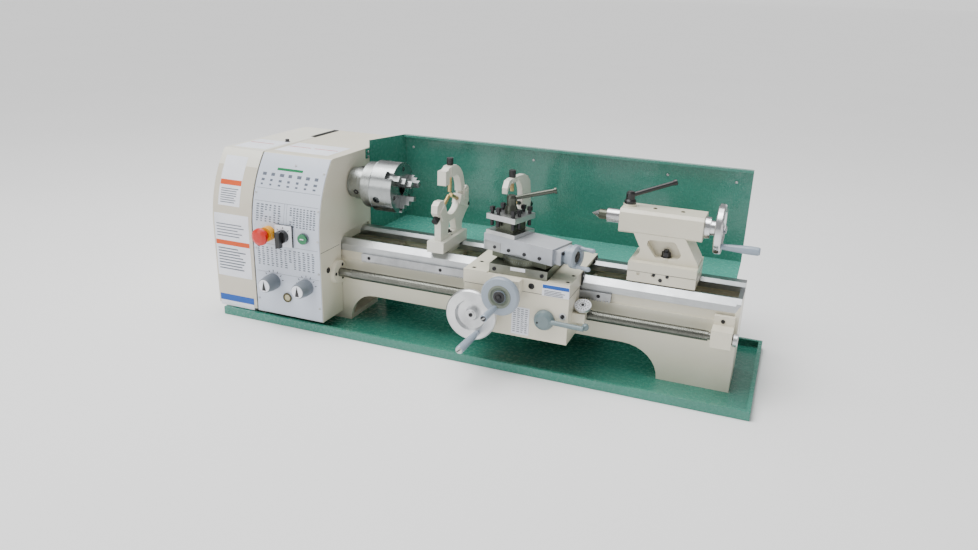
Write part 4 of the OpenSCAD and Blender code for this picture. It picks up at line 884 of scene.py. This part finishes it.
wx, wz = CROSS_WHEEL
COLLAR_Y = -206.3       # where the cross wheel's collar begins
Piece("cross_wheel_dish").turn(
    (wx, COLLAR_Y - 34, wz), NY,
    [(20, -0.5), (25.4, -0.5), (26, 0), (25.6, 0.9), (24.4, 1.1), (21.4, 0.9), (17.6, -2.6), (14.6, -2.9),
     (14.2, -4.5), (18, -4.5)], 64,
).done("wheel_dark", "cross_wheel", "wheel")
Piece("cross_wheel_cap").turn(
    (wx, COLLAR_Y - 35, wz), NY,
    [(0, -0.6), (13.2, -0.6), (13.4, 0.6), (12.4, 1.6), (8.2, 2), (7.6, 0.6), (5, 0.4), (4.4, 2.2),
     (0, 2.4)], 48,
).done("black", "cross_wheel", "black")
marks = Piece("cross_collar_marks")
MARKS = 50
for k in range(MARKS):
    t = moved(wx, COLLAR_Y, wz) @ turned(2 * math.pi * k / MARKS, "Y") @ moved(22, 0, 0)
    marks.block((-0.25, -12 if k % 5 else -15, -0.22), (0.18, -7, 0.22), 0, at=t)
marks.done("ink", "cross_wheel", "wheel")

POST = moved(POST_X, POST_Y, 0) @ turned(math.radians(POST_TURN), "Z")      # the top slide's frame
low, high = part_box("top_slide_handwheel")
Piece("top_wheel_centre", POST).turn(
    (129.2, 0, (low[2] + high[2]) * 500), PX,
    [(0, -0.8), (12.4, -0.8), (12.6, 0.4), (11.2, 1), (6.4, 1), (6, 2.6), (0, 3)], 40,
).done("black", "top_wheel", "black")
Piece("tail_wheel_nut").turn(
    (540, AXIS_Y, AXIS_Z), PX,
    [(0, -1), (8.6, -1), (9.4, 0.2), (9.4, 5), (8.4, 6.5), (5, 6.5), (4.6, 5), (0, 5)], 6,
).done("chrome", "tail_wheel", "chrome")

# slotted discs in the ends of the two front grips; the carriage grip's dark slot is a flat patch of painted
# shade
for name, body, at, r, look, slot in (
        ("carriage_grip_end", "carriage_grip", (63, -324.4, 96), 7.2, "steel", "hole"),
        ("cross_grip_end", "cross_grip", (109, -306.9, 170), 6, "screw", "steel")):
    Piece(name).turn(
        at, NY, [(0, -0.4), (r, -0.4), (r, 0.6), (r * 0.8, 1.1), (0, 1.1)], 32,
    ).done(look, body, "steel")
    Piece(name + "_slot").block(
        (-r * 0.8, -1.35, -1.2), (r * 0.8, -0.9, 1.2), 0.1, 1, moved(*at) @ turned(math.radians(-40), "Y"),
    ).done(slot, body, "black")
Piece("half_nut_lever_screw").turn(
    (192.5, -198.6, 135), NY, [(0, 0), (2.5, 0), (2.5, 1.6), (1.9, 2.1), (1.3, 2.1), (1.2, 1), (0, 1)], 20,
).done("black", "nut_lever", "black")

# thread dial: a pale face with ticks and a screw
DIAL = moved(275, -133, 165) @ turned(math.radians(25), "X")
Piece("thread_dial_face", DIAL).turn(
    (0, 0, 2.1), UP, [(0, 0), (17.6, 0), (18, 0.3), (17.4, 0.8), (0, 0.8)], 56,
).done("white", "dial", "dial")
ticks = Piece("thread_dial_ticks", DIAL)
TICKS = 16
for k in range(TICKS):
    inner = 12.2 if k % 4 else 9.5
    ticks.block((inner, -0.55, 2.8), (16.2, 0.55, 3.2), 0.1, 1, turned(2 * math.pi * k / TICKS, "Z"))
ticks.turn((0, 0, 2.7), UP, [(6.2, 0), (6.2, 0.45), (7.2, 0.45), (7.2, 0)], 40)
ticks.done("ink", "dial", "black")
Piece("thread_dial_screw", DIAL).turn(
    (0, 0, 2.8), UP, [(0, 0), (3.6, 0), (3.6, 1), (2.6, 1.9), (0, 2.1)], 28,
).done("screw", "dial", "screw")

# ---------------------------------------------------------------- cross slide, swivel and top slide

SWIVEL_R = 52.05
scale = Piece("swivel_scale", POST)
for k in range(-9, 10):
    a = math.radians(-90 + 6 * k - POST_TURN)
    t = moved(SWIVEL_R * math.cos(a), SWIVEL_R * math.sin(a), 250) @ turned(a, "Z")
    scale.block((-0.3, -0.15, 3 if k % 3 else 0), (0.08, 0.15, 6), 0, at=t)
scale.done("rule", "swivel", "steel")
Piece("cross_slide_scale").block((118, -176.2, 236), (152, -174.8, 243.4), 0.2, 1).done(
    "white", "cross_slide", "panel")
screws = Piece("cross_slide_screws")
for x in (80, 190):
    screws.cap_screw((x, -174.6, 234), NY, 4.4, 2.6)
screws.done("screw", "cross_slide", "screw")
screws = Piece("top_slide_gib_screws", POST)
for x in (-60, -22, 20, 60):
    screws.turn((x, -39, 272), NY,
                [(0, -0.6), (4.4, -0.6), (4.4, 1.8), (3.6, 2.4), (1.8, 2.4), (1.6, 1.2), (0, 1.2)], 6)
screws.done("screw", "top_slide", "screw")
Piece("top_slide_gib_strip", POST).block((-88, -39.5, 262.6), (-44, -38.6, 284), 0.3).done(
    "steel_dark", "top_slide", "steel")
screws = Piece("top_slide_end_screws", POST)
for y in (-22, 22):
    screws.cap_screw((107.8, y, 290), PX, 3.6, 2.4)
screws.done("screw", "top_slide", "screw")

# ---------------------------------------------------------------- steady rest, tailstock and tool post

Piece("steady_clamp_nut").turn(
    (-100, AXIS_Y, 244.6), UP,
    [(0, 0), (11, 0), (11, 2), (9, 2.4), (9, 8.5), (8.2, 9.6), (4.4, 9.6), (4.2, 14), (0, 14.6)], 6,
).done("screw", "steady_base", "screw")
screws = Piece("tailstock_screws")
for x, z, r in ((412, 240, 3.6), (441, 240, 3.6), (427, 230, 4.2)):
    screws.cap_screw((x, -75, z), NY, r, 1.6)
screws.done("screw", "tailstock", "screw")
cups = Piece("oil_cups")
for x in (392, 452):
    cups.turn((x, AXIS_Y, 373), UP,
              [(0, -0.5), (4.4, -0.5), (4.4, 0.7), (3.6, 1.3), (2.4, 1.3), (2.2, 0.7), (1.4, 1.2),
               (0, 1.5)], 28)
cups.done("brass_dark", "tailstock", "brass")

# the washer under the tool post's lever
Piece("post_washer", POST).turn(
    (-47, 0, 345.6), UP, [(8.4, 0), (13.8, 0), (14.2, 0.6), (14.2, 1.8), (13.4, 2.4), (8.4, 2.4)], 40,
).done("steel", "tool_post", "steel")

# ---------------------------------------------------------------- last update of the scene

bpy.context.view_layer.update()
